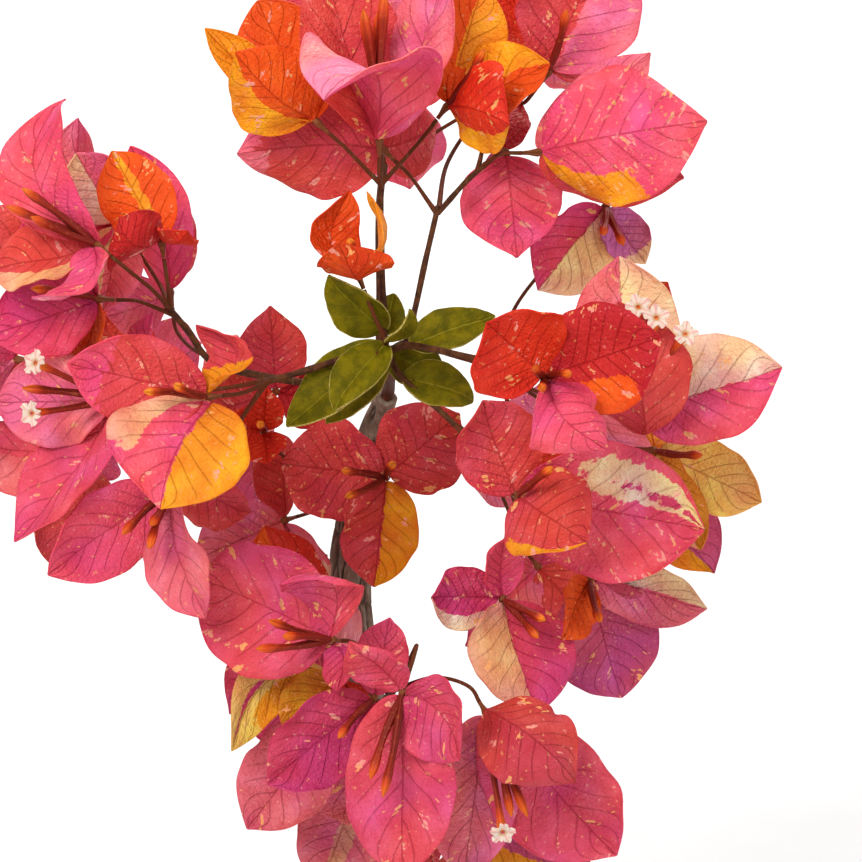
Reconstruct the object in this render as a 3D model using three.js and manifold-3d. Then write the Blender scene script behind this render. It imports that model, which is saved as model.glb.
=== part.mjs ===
// A bougainvillea bonsai in its tray: pot, soil, trunk, leafy stems and papery three-bract blooms.
// Millimetres, +Z up. The origin is under the middle of the whole, on the surface that it stands on,
// and the bonsai's front looks along -Y.
import * as THREE from "three";
import { mergeVertices } from "three/addons/utils/BufferGeometryUtils.js";
import Module from "manifold-3d";

const wasm = await Module();
wasm.setup();

// ---------------------------------------------------------------- driving dimensions

const GAP = 0.3; // clearance between neighbouring pieces

const POT_HALF_LENGTH = 100;
const POT_HALF_WIDTH = 70;
const POT_CORNER_POWER = 3.2; // 2 is an ellipse; higher is squarer
const POT_HEIGHT = 54;
const POT_WALL = 6;
const POT_FLOOR = 6;
const POT_FOOT_HEIGHT = 7;
const POT_FOOT_SIZE = 26;
const POT_FOOT_AT = [62, 38];
const POT_LIP = 5;
const POT_FACETS = 24;
const DRAIN_RADIUS = 7;
const DRAIN_AT = 42;

const SOIL_TOP_EDGE = 46; // height of the soil at the wall
const SOIL_CROWN = 5; // how far it is mounded in the middle
const SOIL_HOLE_DEPTH = 30;

const TRUNK_RIDGES = 4;
const TRUNK_FACETS = 12;
const ROOT_FLARE = 0.3;

// The crown is laid out as seen from the bonsai's front viewpoint: across to the right, up, and toward
// the viewer, in millimetres at the depth of the crown's middle.
const CROWN_AT = new THREE.Vector3(25, -69, 268);
const FRONT_RISE = THREE.MathUtils.degToRad(20);
const FRONT_AWAY = 900;

const BRACT_THICK = 0.7;
const LEAF_THICK = 0.7;
const BRACT_ROOT = 1.3; // a bract's base stands this far out from the heart
const BRACT_CUP = 0.35; // half-angle of the arc across a bract, radians
const BRACT_BOW = 2; // how far a midrib bows to the outside, mm
const COLLAR_RADIUS = 1.2;
const RECEPTACLE_RADIUS = 3.8;
const RECEPTACLE_HEAD = 2;
const COLLAR_LENGTH = 4.5;
const TUBE_RADIUS = 0.9;
const TUBE_BUD_RADIUS = 1.7;
const STAR_RADIUS = 4.4;

// ---------------------------------------------------------------- the front viewpoint

const RIGHT = new THREE.Vector3(1, 0, 0);
const UP = new THREE.Vector3(0, Math.sin(FRONT_RISE), Math.cos(FRONT_RISE));
const TOWARD = new THREE.Vector3(0, -Math.cos(FRONT_RISE), Math.sin(FRONT_RISE));

// A place in the crown on the viewer's sight line through (across, up), at a depth toward the viewer.
function place([across, up, toward]) {
  const spread = (FRONT_AWAY - toward) / FRONT_AWAY;
  return CROWN_AT.clone()
    .addScaledVector(RIGHT, across * spread)
    .addScaledVector(UP, up * spread)
    .addScaledVector(TOWARD, toward);
}

// A direction in the same three terms.
function aim([across, up, toward]) {
  return new THREE.Vector3()
    .addScaledVector(RIGHT, across)
    .addScaledVector(UP, up)
    .addScaledVector(TOWARD, toward)
    .normalize();
}

// ---------------------------------------------------------------- solids

function solid(geometry) {
  const bare = geometry.clone();
  bare.deleteAttribute("normal");
  bare.deleteAttribute("uv");
  const merged = mergeVertices(bare, 1e-4);
  return new wasm.Manifold(
    new wasm.Mesh({
      numProp: 3,
      vertProperties: Float32Array.from(merged.attributes.position.array),
      triVerts: Uint32Array.from(merged.index.array),
    }),
  );
}

function fuse(solids) {
  return solids.reduce((all, next) => all.add(next));
}

function geometryOf(manifold) {
  const mesh = manifold.getMesh();
  const geometry = new THREE.BufferGeometry();
  geometry.setAttribute("position", new THREE.BufferAttribute(Float32Array.from(mesh.vertProperties), 3));
  geometry.setIndex(new THREE.BufferAttribute(Uint32Array.from(mesh.triVerts), 1));
  geometry.computeVertexNormals();
  return geometry;
}

// An upright prism bent along a smooth curve. radiusAt gives the radius at a share of the length and an
// angle round the curve.
function sweep(points, radiusAt, facets, steps) {
  const curve = new THREE.CatmullRomCurve3(points, false, "centripetal");
  const frames = curve.computeFrenetFrames(steps, false);
  const prism = new THREE.CylinderGeometry(1, 1, 1, facets, steps);
  const at = prism.attributes.position;
  for (let i = 0; i < at.count; i += 1) {
    const ring = Math.round((at.getY(i) + 0.5) * steps);
    const radius = radiusAt(ring / steps, Math.atan2(at.getX(i), at.getZ(i)));
    const vertex = curve
      .getPointAt(ring / steps)
      .addScaledVector(frames.binormals[ring], at.getX(i) * radius)
      .addScaledVector(frames.normals[ring], at.getZ(i) * radius);
    at.setXYZ(i, vertex.x, vertex.y, vertex.z);
  }
  return solid(prism);
}

// A tapered stem, its radius read from a short list along it.
function stem(points, radii, facets = 5, steps = points.length * 2 - 2) {
  const radiusAt = (along) => {
    const reach = along * (radii.length - 1);
    const low = Math.min(Math.floor(reach), radii.length - 2);
    return THREE.MathUtils.lerp(radii[low], radii[low + 1], reach - low);
  };
  return sweep(points, radiusAt, facets, steps);
}

// ---------------------------------------------------------------- blades: bracts and leaves

const BRACT_ROWS = [0, 0.18, 0.5, 0.83, 1];
const FAR_ROWS = [0, 0.2, 0.7, 1];
const BRACT_OUTLINE = [0.65, 0.6]; // powers of s and 1 - s in the half-width
const FAR_OUTLINE = [0.8, 0.65];
const LEAF_ROWS = [0, 0.22, 0.6, 1];
const LEAF_OUTLINE = [0.75, 1];

function halfWidth(s, [rise, fall]) {
  const widest = rise / (rise + fall);
  const peak = widest ** rise * (1 - widest) ** fall;
  return (s ** rise * (1 - s) ** fall) / peak;
}

// A thin arched plate. Its midrib is a bow from base to tip through `via`, its half-width follows the
// outline, and across it is an arc of half-angle `cup`. The face is the side that the cup opens to.
function blade({ base, tip, via, face, wide, cup, outline, rows, thick }) {
  const chord = tip.clone().sub(base);
  const across = face.clone().cross(chord).normalize();
  const bend = via.clone().multiplyScalar(2).addScaledVector(base, -0.5).addScaledVector(tip, -0.5);
  const upper = [];
  const lower = [];
  for (const s of rows) {
    const middle = base.clone().multiplyScalar((1 - s) ** 2)
      .addScaledVector(bend, 2 * s * (1 - s))
      .addScaledVector(tip, s ** 2);
    const along = bend.clone().sub(base).multiplyScalar(2 * (1 - s))
      .addScaledVector(tip.clone().sub(bend), 2 * s)
      .normalize();
    const out = along.clone().cross(across).normalize();
    const half = wide * halfWidth(s, outline);
    for (const t of half > 0.01 ? [-1, 0, 1] : [0]) {
      const point = middle.clone()
        .addScaledVector(across, (half * Math.sin(cup * t)) / cup)
        .addScaledVector(out, (half * (1 - Math.cos(cup * t))) / cup);
      upper.push(point.clone().addScaledVector(out, thick / 2));
      lower.push(point.clone().addScaledVector(out, -thick / 2));
    }
  }
  return plate(upper, lower, rows.length);
}

// Closes two like layers of points (one point, rows of three, one point) into a plate.
function plate(upper, lower, rowCount) {
  const count = upper.length;
  const last = count - 1;
  const first = (row) => 1 + (row - 1) * 3;
  const layer = [[0, 1, 2], [0, 2, 3]];
  for (let row = 1; row < rowCount - 2; row += 1) {
    const near = first(row);
    const far = first(row + 1);
    layer.push([near, far, near + 1], [near + 1, far, far + 1]);
    layer.push([near + 1, far + 1, far + 2], [near + 1, far + 2, near + 2]);
  }
  const end = first(rowCount - 2);
  layer.push([end, last, end + 1], [end + 1, last, end + 2]);
  const rim = [0];
  for (let row = 1; row <= rowCount - 2; row += 1) rim.push(first(row));
  rim.push(last);
  for (let row = rowCount - 2; row >= 1; row -= 1) rim.push(first(row) + 2);
  const index = [];
  for (const [a, b, c] of layer) {
    index.push(a, b, c);
    index.push(count + a, count + c, count + b);
  }
  rim.forEach((a, i) => {
    const b = rim[(i + 1) % rim.length];
    index.push(a, count + a, count + b);
    index.push(a, count + b, b);
  });
  const geometry = new THREE.BufferGeometry();
  const points = [...upper, ...lower].flatMap((p) => [p.x, p.y, p.z]);
  geometry.setAttribute("position", new THREE.BufferAttribute(Float32Array.from(points), 3));
  geometry.setIndex(index);
  const made = solid(geometry);
  return made;
}

// ---------------------------------------------------------------- blooms

// Each bloom: heart is where its bracts join; stalk points from the heart back along its pedicel;
// facing is the way that its inner side looks. A bract has its tip and half-width, and may bow through
// a place of its own, face its own way or cup more or less. Tubes end at the places listed; stars are
// tubes that end in an open flower.
const BLOOMS = {
  top_middle: {
    heart: [-14.5, 81.5, 0],
    stalk: [0, -1, -0.2],
    facing: [0, 0.9, 0.35],
    bracts: [
      { tip: [-30, 93, 27], wide: 21, via: [-16, 101, 15], face: [0.3, 0.9, -0.4], cup: 0.5 },
      { tip: [-30, 131, -6], wide: 17 },
      { tip: [5, 129, -3], wide: 15 },
    ],
    tubes: [[-19, 118, 6], [-13, 123, 3], [-15, 117, -2]],
  },
  top_left: {
    heart: [-32, 86.5, -6],
    stalk: [0.72, -0.65, 0],
    facing: [-0.3, 0.6, -0.7],
    bracts: [
      { tip: [-54, 106, 4], wide: 15, via: [-44, 94, 2], cup: 0.5 },
      { tip: [-63.5, 112, -14], wide: 7, face: [-0.2, 0.6, 0.8] },
      { tip: [-49, 121, -20], wide: 14, face: [-0.2, 0.3, 0.9] },
    ],
    tubes: [[-46, 104, -10]],
  },
  top_right: {
    heart: [4.5, 91, -8],
    stalk: [-0.6, -0.78, -0.1],
    facing: [0.4, 0.5, 0.7],
    bracts: [
      { tip: [22, 86, 12], wide: 14, face: [-0.3, 0.3, -0.9], via: [13, 90, 7], cup: 0.6 },
      { tip: [33, 103, -2], wide: 14 },
      { tip: [15, 125, -10], wide: 12 },
    ],
    tubes: [[15, 107, 6], [18, 98, 6]],
  },
  top_far_right: {
    heart: [33, 100.5, -17],
    stalk: [-0.6, -0.75, -0.3],
    facing: [0.3, 0.3, 0.9],
    bracts: [
      { tip: [50, 139, -12], wide: 19 },
      { tip: [19, 133, -28], wide: 13 },
      { tip: [50, 110, -32], wide: 10 },
    ],
    tubes: [[38, 118, -4]],
  },
  top_low: {
    heart: [-13.5, 79, -16],
    stalk: [0.7, -0.7, 0.1],
    facing: [-0.2, 0.3, -0.9],
    bracts: [
      { tip: [-53.5, 78, -22], wide: 17.5, via: [-32, 80, -15] },
      { tip: [3, 86, -34], wide: 12 },
      { tip: [-22, 108, -36], wide: 14 },
    ],
    tubes: [],
  },
  upper_right: {
    heart: [30, 78, 0],
    stalk: [-1, -0.06, 0.3],
    facing: [0.3, 0.1, -0.9],
    bracts: [
      { tip: [76.5, 86.5, 4], wide: 20, via: [53, 83, 8] },
      { tip: [61.5, 106, -12], wide: 9 },
      { tip: [70.5, 71, -18], wide: 12 },
    ],
    tubes: [],
  },
  upper_right_hanging: {
    heart: [21, 78, -14],
    stalk: [-0.5, 0.3, 0.8],
    facing: [0.1, -0.5, -0.8],
    bracts: [
      { tip: [24, 49.5, -20], wide: 15.5, via: [22.5, 65, -13] },
      { tip: [16, 95, -30], wide: 10 },
      { tip: [28, 62, -46], wide: 9 },
    ],
    tubes: [],
  },
  upper_right_lilac: {
    heart: [49, 63, -46],
    stalk: [-0.6, -0.5, -0.6],
    facing: [0.3, -0.2, 0.9],
    bracts: [
      { tip: [30.5, 39.5, -44], wide: 14 },
      { tip: [60, 47, -48], wide: 7.5 },
      { tip: [46, 84, -60], wide: 10 },
    ],
    tubes: [[48, 55, -36], [54, 52, -38]],
  },
  right_front: {
    heart: [32, 15, 34],
    stalk: [-0.8, 0.25, -0.55],
    facing: [0, -0.1, 1],
    bracts: [
      { tip: [15, 31, 49], wide: 16 },
      { tip: [64, 26, 44], wide: 16 },
      { tip: [49, -5, 47], wide: 14, via: [37, 4, 51], face: [0, 0.4, 0.9], cup: -0.9 },
    ],
    tubes: [[29, 18, 52], [39, 16, 52], [31, 12, 54]],
  },
  right_beige: {
    heart: [56, 5.3, -4],
    stalk: [-0.85, 0, -0.5],
    facing: [0.2, 0.3, 0.9],
    bracts: [
      { tip: [53, 48.7, -4], wide: 16.5 },
      { tip: [98.5, 17.6, 0], wide: 16.5 },
      { tip: [53, 36, 14], wide: 15, from: [60, -2, 2], via: [58, 16, 12], face: [0.2, 0.2, -0.9] },
    ],
    tubes: [],
    stars: [[58, 34.5, 19], [63, 31.5, 21], [71, 27, 19]],
  },
  right_lower: {
    heart: [24, -18, 8],
    stalk: [-0.6, 0.6, -0.5],
    facing: [0.3, -0.1, 0.95],
    bracts: [
      { tip: [14, 9, 18], wide: 13.5 },
      { tip: [43, -30.5, 26], wide: 15 },
      { tip: [76.5, -27.5, 6], wide: 20 },
    ],
    tubes: [[34, -10, 22]],
  },
  right_yellow: {
    heart: [62.5, -5.5, -20],
    stalk: [-0.9, 0.1, -0.4],
    facing: [0.5, -0.3, 0.8],
    bracts: [
      { tip: [92.5, -20, -24], wide: 11 },
      { tip: [75, -34, -12], wide: 9.5 },
      { tip: [60, 20, -36], wide: 12 },
    ],
    tubes: [[76, -6.7, -6]],
  },
  right_under: {
    heart: [44.5, -41.5, -22],
    stalk: [-0.6, 0.7, -0.4],
    facing: [0.3, -0.4, 0.85],
    bracts: [
      { tip: [77, -50.5, -26], wide: 9.5 },
      { tip: [53, -74.5, -32], wide: 17 },
      { tip: [38, -58, -8], wide: 9 },
    ],
    tubes: [[47.5, -53.5, -8]],
  },
  right_folded: {
    heart: [20, -47, -12],
    stalk: [-0.1, 0.8, -0.6],
    facing: [0.5, -0.1, 0.9],
    bracts: [
      { tip: [-1, -46.5, 0], wide: 9.5 },
      { tip: [30, -79, -2], wide: 17 },
      { tip: [21, -29, -4], wide: 7 },
    ],
    tubes: [[32, -53, -2], [30, -58, 0]],
  },
  centre_young: {
    heart: [-20.5, 44, 4],
    stalk: [0.35, -0.9, -0.1],
    facing: [0, 0.9, 0.35],
    bracts: [
      { tip: [-26, 52, 20], wide: 12, via: [-21, 43, 13], face: [0, 0.9, -0.3], cup: 0.6 },
      { tip: [-22, 67, 0], wide: 8, via: [-28, 54, 2], face: [0.4, 0.2, 0.9], cup: 0.5 },
      { tip: [-15, 67.5, -2], wide: 5.5, via: [-12, 54, 1], face: [-1, 0, 0.25] },
    ],
    tubes: [[-23, 54, 8]],
  },
  centre: {
    heart: [-12.5, -13, -64],
    stalk: [0.1, 0.2, -1],
    facing: [0, 0, 1],
    bracts: [
      { tip: [-42.5, -9, -60], wide: 16 },
      { tip: [7, 4, -54], wide: 15 },
      { tip: [-16, -44, -60], wide: 12.5 },
    ],
    tubes: [[-25, -11, -48], [-24, -18.5, -48], [-10.5, -9, -46]],
  },
  centre_low: {
    heart: [-41, -25, -78],
    stalk: [0.7, 0.2, -0.7],
    facing: [-0.5, -0.2, 0.8],
    bracts: [
      { tip: [-66, -36, -72], wide: 12 },
      { tip: [-44, 0, -88], wide: 10 },
      { tip: [-34, -54, -86], wide: 14 },
    ],
    tubes: [],
  },
  centre_orange: {
    heart: [-47, 0, -62],
    stalk: [0.4, -0.6, -0.7],
    facing: [0, 0, 1],
    bracts: [
      { tip: [-46, 11, -50], wide: 6 },
      { tip: [-45.5, -10, -52], wide: 7 },
      { tip: [-58, 2, -54], wide: 7 },
    ],
    tubes: [[-48, 2, -50]],
  },
  centre_left: {
    heart: [-43.5, 11, -74],
    stalk: [0.6, -0.1, -0.8],
    facing: [0, 0.2, 0.95],
    bracts: [
      { tip: [-45, 34, -68], wide: 11 },
      { tip: [-24, 7, -70], wide: 10 },
      { tip: [-68, 4, -70], wide: 11 },
    ],
    tubes: [],
  },
  left_upper: {
    heart: [-93.5, 52, 12],
    stalk: [0.75, -0.6, -0.3],
    facing: [-0.8, 0.4, 0.5],
    bracts: [
      { tip: [-103.5, 94, 8], wide: 12, via: [-111, 72, 10], face: [-0.4, 0, 0.9] },
      { tip: [-111.5, 35.5, 26], wide: 12, via: [-97, 41, 27], face: [-0.7, 0.5, 0.5] },
      { tip: [-124, 46, 2], wide: 13 },
    ],
    tubes: [[-114.5, 68, 20], [-112, 60, 22], [-119, 63, 17]],
  },
  left_upper_inner: {
    heart: [-75.5, 53, -2],
    stalk: [0.15, -1, 0],
    facing: [-0.3, 0.5, -0.8],
    bracts: [
      { tip: [-88, 60, 10], wide: 11, via: [-83, 52, 10] },
      { tip: [-69, 56, 8], wide: 7, via: [-71, 53, 6] },
      { tip: [-89.5, 78.5, -8], wide: 11 },
    ],
    tubes: [],
  },
  left_back: {
    heart: [-73, 39, -40],
    stalk: [0.1, -0.9, -0.3],
    facing: [0, 0.1, 1],
    bracts: [
      { tip: [-84, 79.5, -40], wide: 10, via: [-76, 60, -38] },
      { tip: [-74, 66, -58], wide: 9 },
      { tip: [-90, 32, -52], wide: 10 },
    ],
    tubes: [],
  },
  left_cream: {
    heart: [-88, 58, -22],
    stalk: [0.6, -0.8, -0.3],
    facing: [-0.1, 0.2, 1],
    bracts: [
      { tip: [-99.5, 78, -20], wide: 11 },
      { tip: [-92, 34, -20], wide: 10 },
      { tip: [-116, 54, -28], wide: 12 },
    ],
    tubes: [],
  },
  left_front: {
    heart: [-62.5, 9.5, 24],
    stalk: [0.8, 0.1, -0.6],
    facing: [-0.2, 0, 1],
    bracts: [
      { tip: [-102, 19, 32], wide: 13 },
      { tip: [-76, -21, 36], wide: 20.5, from: [-61, 9, 24], via: [-71, -5, 30] },
      { tip: [-64.5, 30.5, 22], wide: 11, via: [-54.5, 20, 28], face: [-0.8, 0, 0.6] },
    ],
    tubes: [[-80.5, 11, 36], [-72, 13, 37]],
  },
  left_starred: {
    heart: [-88, 9, 4],
    stalk: [0.9, 0.1, -0.45],
    facing: [-0.8, 0.1, 0.6],
    bracts: [
      { tip: [-116.5, -31, 2], wide: 14 },
      { tip: [-122, 8, -12], wide: 14 },
      { tip: [-79, 33, 2], wide: 9 },
    ],
    tubes: [[-114.5, 12, 6]],
    stars: [[-110.5, 19, 12], [-111.5, 5, 12]],
  },
  left_middle: {
    heart: [-93, 37, -4],
    stalk: [1, -0.05, -0.2],
    facing: [-0.7, 0, 0.7],
    bracts: [
      { tip: [-124, 27, -2], wide: 13 },
      { tip: [-106, 0, -14], wide: 13 },
      { tip: [-110, 62, -14], wide: 12 },
    ],
    tubes: [[-112, 40, 6]],
  },
  left_lower: {
    heart: [-73, -16.5, 0],
    stalk: [0.75, 0.65, -0.1],
    facing: [-0.4, -0.6, 0.7],
    bracts: [
      { tip: [-107.5, -40, 4], wide: 13.5 },
      { tip: [-51.5, -24, -8], wide: 11 },
      { tip: [-62, -51.5, 6], wide: 13, via: [-71, -35, 4] },
    ],
    tubes: [[-86.5, -29, 12], [-78.5, -26.5, 12], [-79, -33, 13]],
  },
  bottom_left: {
    heart: [-27.5, -58.5, 6],
    stalk: [0.45, -0.1, -0.9],
    facing: [-0.6, 0, 0.8],
    bracts: [
      { tip: [-65.5, -41, -6], wide: 21 },
      { tip: [-42.5, -42, 18], wide: 12, via: [-28, -43, 14] },
      { tip: [-27, -73, 8], wide: 6, via: [-25, -64, 9] },
    ],
    tubes: [[-45.5, -53, 16], [-41.5, -57.5, 18], [-49, -61, 16]],
  },
  bottom_yellow: {
    heart: [-25.5, -68, -10],
    stalk: [0.5, 0.1, -0.85],
    facing: [-0.5, -0.6, 0.6],
    bracts: [
      { tip: [-55, -89.5, -8], wide: 9, via: [-45.5, -70, -12] },
      { tip: [-41, -85, -10], wide: 10 },
      { tip: [-19, -88, -16], wide: 8 },
    ],
    tubes: [],
  },
  bottom_low_left: {
    heart: [-28, -81, -22],
    stalk: [0.5, 0.3, -0.8],
    facing: [-0.3, -0.3, 0.9],
    bracts: [
      { tip: [-51.5, -111.5, -20], wide: 14 },
      { tip: [-54, -76, -30], wide: 12 },
      { tip: [-22, -110, -30], wide: 13 },
    ],
    tubes: [[-36, -92, -12]],
  },
  bottom_middle: {
    heart: [-16, -75, 0],
    stalk: [0.3, 0.5, -0.8],
    facing: [-0.2, -0.3, 0.9],
    bracts: [
      { tip: [-46, -99, 8], wide: 13 },
      { tip: [-12, -53, -3], wide: 8 },
      { tip: [0, -98, -10], wide: 12 },
    ],
    tubes: [[-26, -86, 10]],
  },
  bottom_front: {
    heart: [-8, -73, 12],
    stalk: [0.3, 0.9, -0.4],
    facing: [-0.1, -0.7, 0.7],
    bracts: [
      { tip: [-22.5, -61, 24], wide: 9 },
      { tip: [9, -91, 18], wide: 15, via: [2, -78, 20] },
      { tip: [-8.5, -125.5, 14], wide: 16 },
    ],
    tubes: [[-17, -97.5, 22], [-13.5, -102.5, 24]],
  },
  bottom_back: {
    heart: [-19, -96, -44],
    stalk: [0.3, 0.5, -0.8],
    facing: [-0.1, -0.3, 0.9],
    bracts: [
      { tip: [-31, -128, -40], wide: 14 },
      { tip: [2, -122, -44], wide: 13 },
      { tip: [-44, -100, -58], wide: 12 },
    ],
    tubes: [],
  },
  bottom_right: {
    heart: [15.5, -79, 4],
    stalk: [-0.4, 0.6, -0.7],
    facing: [0.2, -0.9, 0.2],
    bracts: [
      {
        tip: [41, -98.5, 16],
        wide: 15,
        from: [14.4, -77.5, 4.6],
        via: [27, -85, 20],
        face: [0.1, -0.6, -0.8],
        cup: 0.6,
      },
      { tip: [51.5, -119, -6], wide: 18, via: [35, -101, -6], face: [0.1, -0.4, 0.9] },
      { tip: [9, -125, -8], wide: 13, face: [-0.1, -0.4, 0.9] },
    ],
    tubes: [[22.5, -108, 10], [27, -108, 11]],
    stars: [[20, -112, 13]],
  },
};

// A bract's blade, from near the heart to its tip.
function bract(bloom, entry) {
  const facing = aim(entry.face ?? bloom.facing);
  const tip = place(entry.tip);
  const heart = place(entry.from ?? bloom.heart);
  const base = heart.clone().addScaledVector(tip.clone().sub(heart).normalize(), BRACT_ROOT);
  const via = entry.via
    ? place(entry.via)
    : base.clone().lerp(tip, 0.5).addScaledVector(facing, -BRACT_BOW);
  return blade({
    base,
    tip,
    via,
    face: facing,
    wide: entry.wide,
    cup: entry.cup ?? BRACT_CUP,
    outline: BRACT_OUTLINE,
    rows: BRACT_ROWS,
    thick: BRACT_THICK,
  });
}

// A flower tube: slender at the heart, swollen below its bud or star.
function tube(bloom, end) {
  const start = place(bloom.heart);
  const finish = place(end);
  return stem([start, finish], [TUBE_RADIUS, TUBE_BUD_RADIUS], 3, 1);
}

// An open flower: a five-pointed plate across the end of its tube.
function star(bloom, end) {
  const centre = place(end);
  const axis = centre.clone().sub(place(bloom.heart)).normalize();
  const shape = new THREE.Shape();
  for (let i = 0; i < 10; i += 1) {
    const radius = i % 2 ? STAR_RADIUS * 0.55 : STAR_RADIUS;
    const turn = (i * Math.PI) / 5;
    const point = [Math.cos(turn) * radius, Math.sin(turn) * radius];
    if (i) shape.lineTo(...point);
    else shape.moveTo(...point);
  }
  shape.closePath();
  const petals = new THREE.ExtrudeGeometry(shape, { depth: 0.8, bevelEnabled: false });
  petals.translate(0, 0, -0.4);
  petals.applyQuaternion(new THREE.Quaternion().setFromUnitVectors(new THREE.Vector3(0, 0, 1), axis));
  petals.translate(centre.x, centre.y, centre.z);
  return solid(petals);
}

// The short collar that the bracts join on, in line with the pedicel.
function collar(bloom) {
  const heart = place(bloom.heart);
  const back = aim(bloom.stalk);
  const foot = heart.clone().addScaledVector(back, COLLAR_LENGTH);
  const head = heart.clone().addScaledVector(back, -RECEPTACLE_HEAD);
  return stem([foot, head], [COLLAR_RADIUS, RECEPTACLE_RADIUS], 3, 1);
}

function bloomSolid(bloom) {
  const pieces = bloom.bracts.map((entry) => bract(bloom, entry));
  pieces.push(collar(bloom));
  for (const end of bloom.tubes) pieces.push(tube(bloom, end));
  for (const end of bloom.stars ?? []) pieces.push(tube(bloom, end), star(bloom, end));
  return fuse(pieces);
}

// ---------------------------------------------------------------- the blooms on the far side

// A small repeatable random draw, so that the far side grows the same way every time.
function seeded(seed) {
  let state = seed * 7919 + 17;
  return () => {
    state = (state * 16807) % 2147483647;
    return state / 2147483647;
  };
}

const BACK_LENGTH = [36, 42];
const BACK_LEAN = [0.5, 0.75]; // radians from the flat toward the facing
const BACK_WIDE = [13.5, 15.5];

// Where each far bloom's bracts join, and the way it faces.
const BACK_BLOOMS = {
  back_top_left: { heart: [-20, 100, -70], facing: [-0.4, 0.6, -0.7] },
  back_top: { heart: [6, 112, -102], facing: [0, 0.8, -0.6] },
  back_top_right: { heart: [30, 104, -72], facing: [0.5, 0.6, -0.6] },
  back_left_upper: { heart: [-100, 48, -66], facing: [-0.6, 0.6, -0.5] },
  back_left_outer: { heart: [-116, 20, -48], facing: [-1, 0, -0.3] },
  back_left: { heart: [-82, 14, -112], facing: [-0.5, 0.2, -0.85] },
  back_left_lower: { heart: [-96, -8, -66], facing: [-0.7, -0.4, -0.7] },
  back_right_upper: { heart: [42, 12, -74], facing: [0.4, 0.4, -0.8] },
  back_right: { heart: [56, -12, -106], facing: [0.6, -0.1, -0.8] },
  back_right_lower: { heart: [30, -38, -74], facing: [0.4, -0.5, -0.8] },
  back_low_left: { heart: [-31, -60, -60], facing: [-0.5, 0.1, -0.85] },
  back_low: { heart: [12, -112, -52], facing: [0.3, -0.8, -0.3] },
  deep_upper: { heart: [-10, 92, -138], facing: [-0.1, 0.3, -0.95] },
  deep_left: { heart: [-52, 2, -152], facing: [-0.5, 0, -0.85] },
  deep_right: { heart: [26, -6, -156], facing: [0.4, -0.1, -0.9] },
};

function between([low, high], share) {
  return low + (high - low) * share;
}

// Three bracts a third of a turn apart, leaning toward the facing.
function farBloomSolid(bloom, draw) {
  const heart = place(bloom.heart);
  const facing = aim(bloom.facing);
  const side = facing.clone().cross(aim([0.2, 1, 0.1])).normalize();
  const top = side.clone().cross(facing);
  const start = draw() * Math.PI * 2;
  const pieces = [];
  for (let i = 0; i < 3; i += 1) {
    const turn = start + (i * Math.PI * 2) / 3 + (draw() - 0.5) * 0.4;
    const lean = between(BACK_LEAN, draw());
    const length = between(BACK_LENGTH, draw());
    const wide = between(BACK_WIDE, draw());
    const tip = heart.clone()
      .addScaledVector(side, Math.cos(turn) * Math.cos(lean) * length)
      .addScaledVector(top, Math.sin(turn) * Math.cos(lean) * length)
      .addScaledVector(facing, Math.sin(lean) * length);
    pieces.push(blade({
      base: heart.clone().lerp(tip, BRACT_ROOT / length),
      tip,
      via: heart.clone().lerp(tip, 0.5).addScaledVector(facing, -BRACT_BOW),
      face: facing,
      wide,
      cup: BRACT_CUP,
      outline: FAR_OUTLINE,
      rows: FAR_ROWS,
      thick: BRACT_THICK,
    }));
  }
  pieces.push(collar({ heart: bloom.heart, stalk: bloom.facing.map((part) => -part) }));
  const end = heart.clone().addScaledVector(facing, 22).addScaledVector(top, 4);
  pieces.push(stem([heart, end], [TUBE_RADIUS, TUBE_BUD_RADIUS], 3, 1));
  return fuse(pieces);
}

// ---------------------------------------------------------------- leafy stems

const PEDICEL_RADIUS = 1.1;
const STRAIGHT = 6; // a pedicel's last straight stretch

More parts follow.
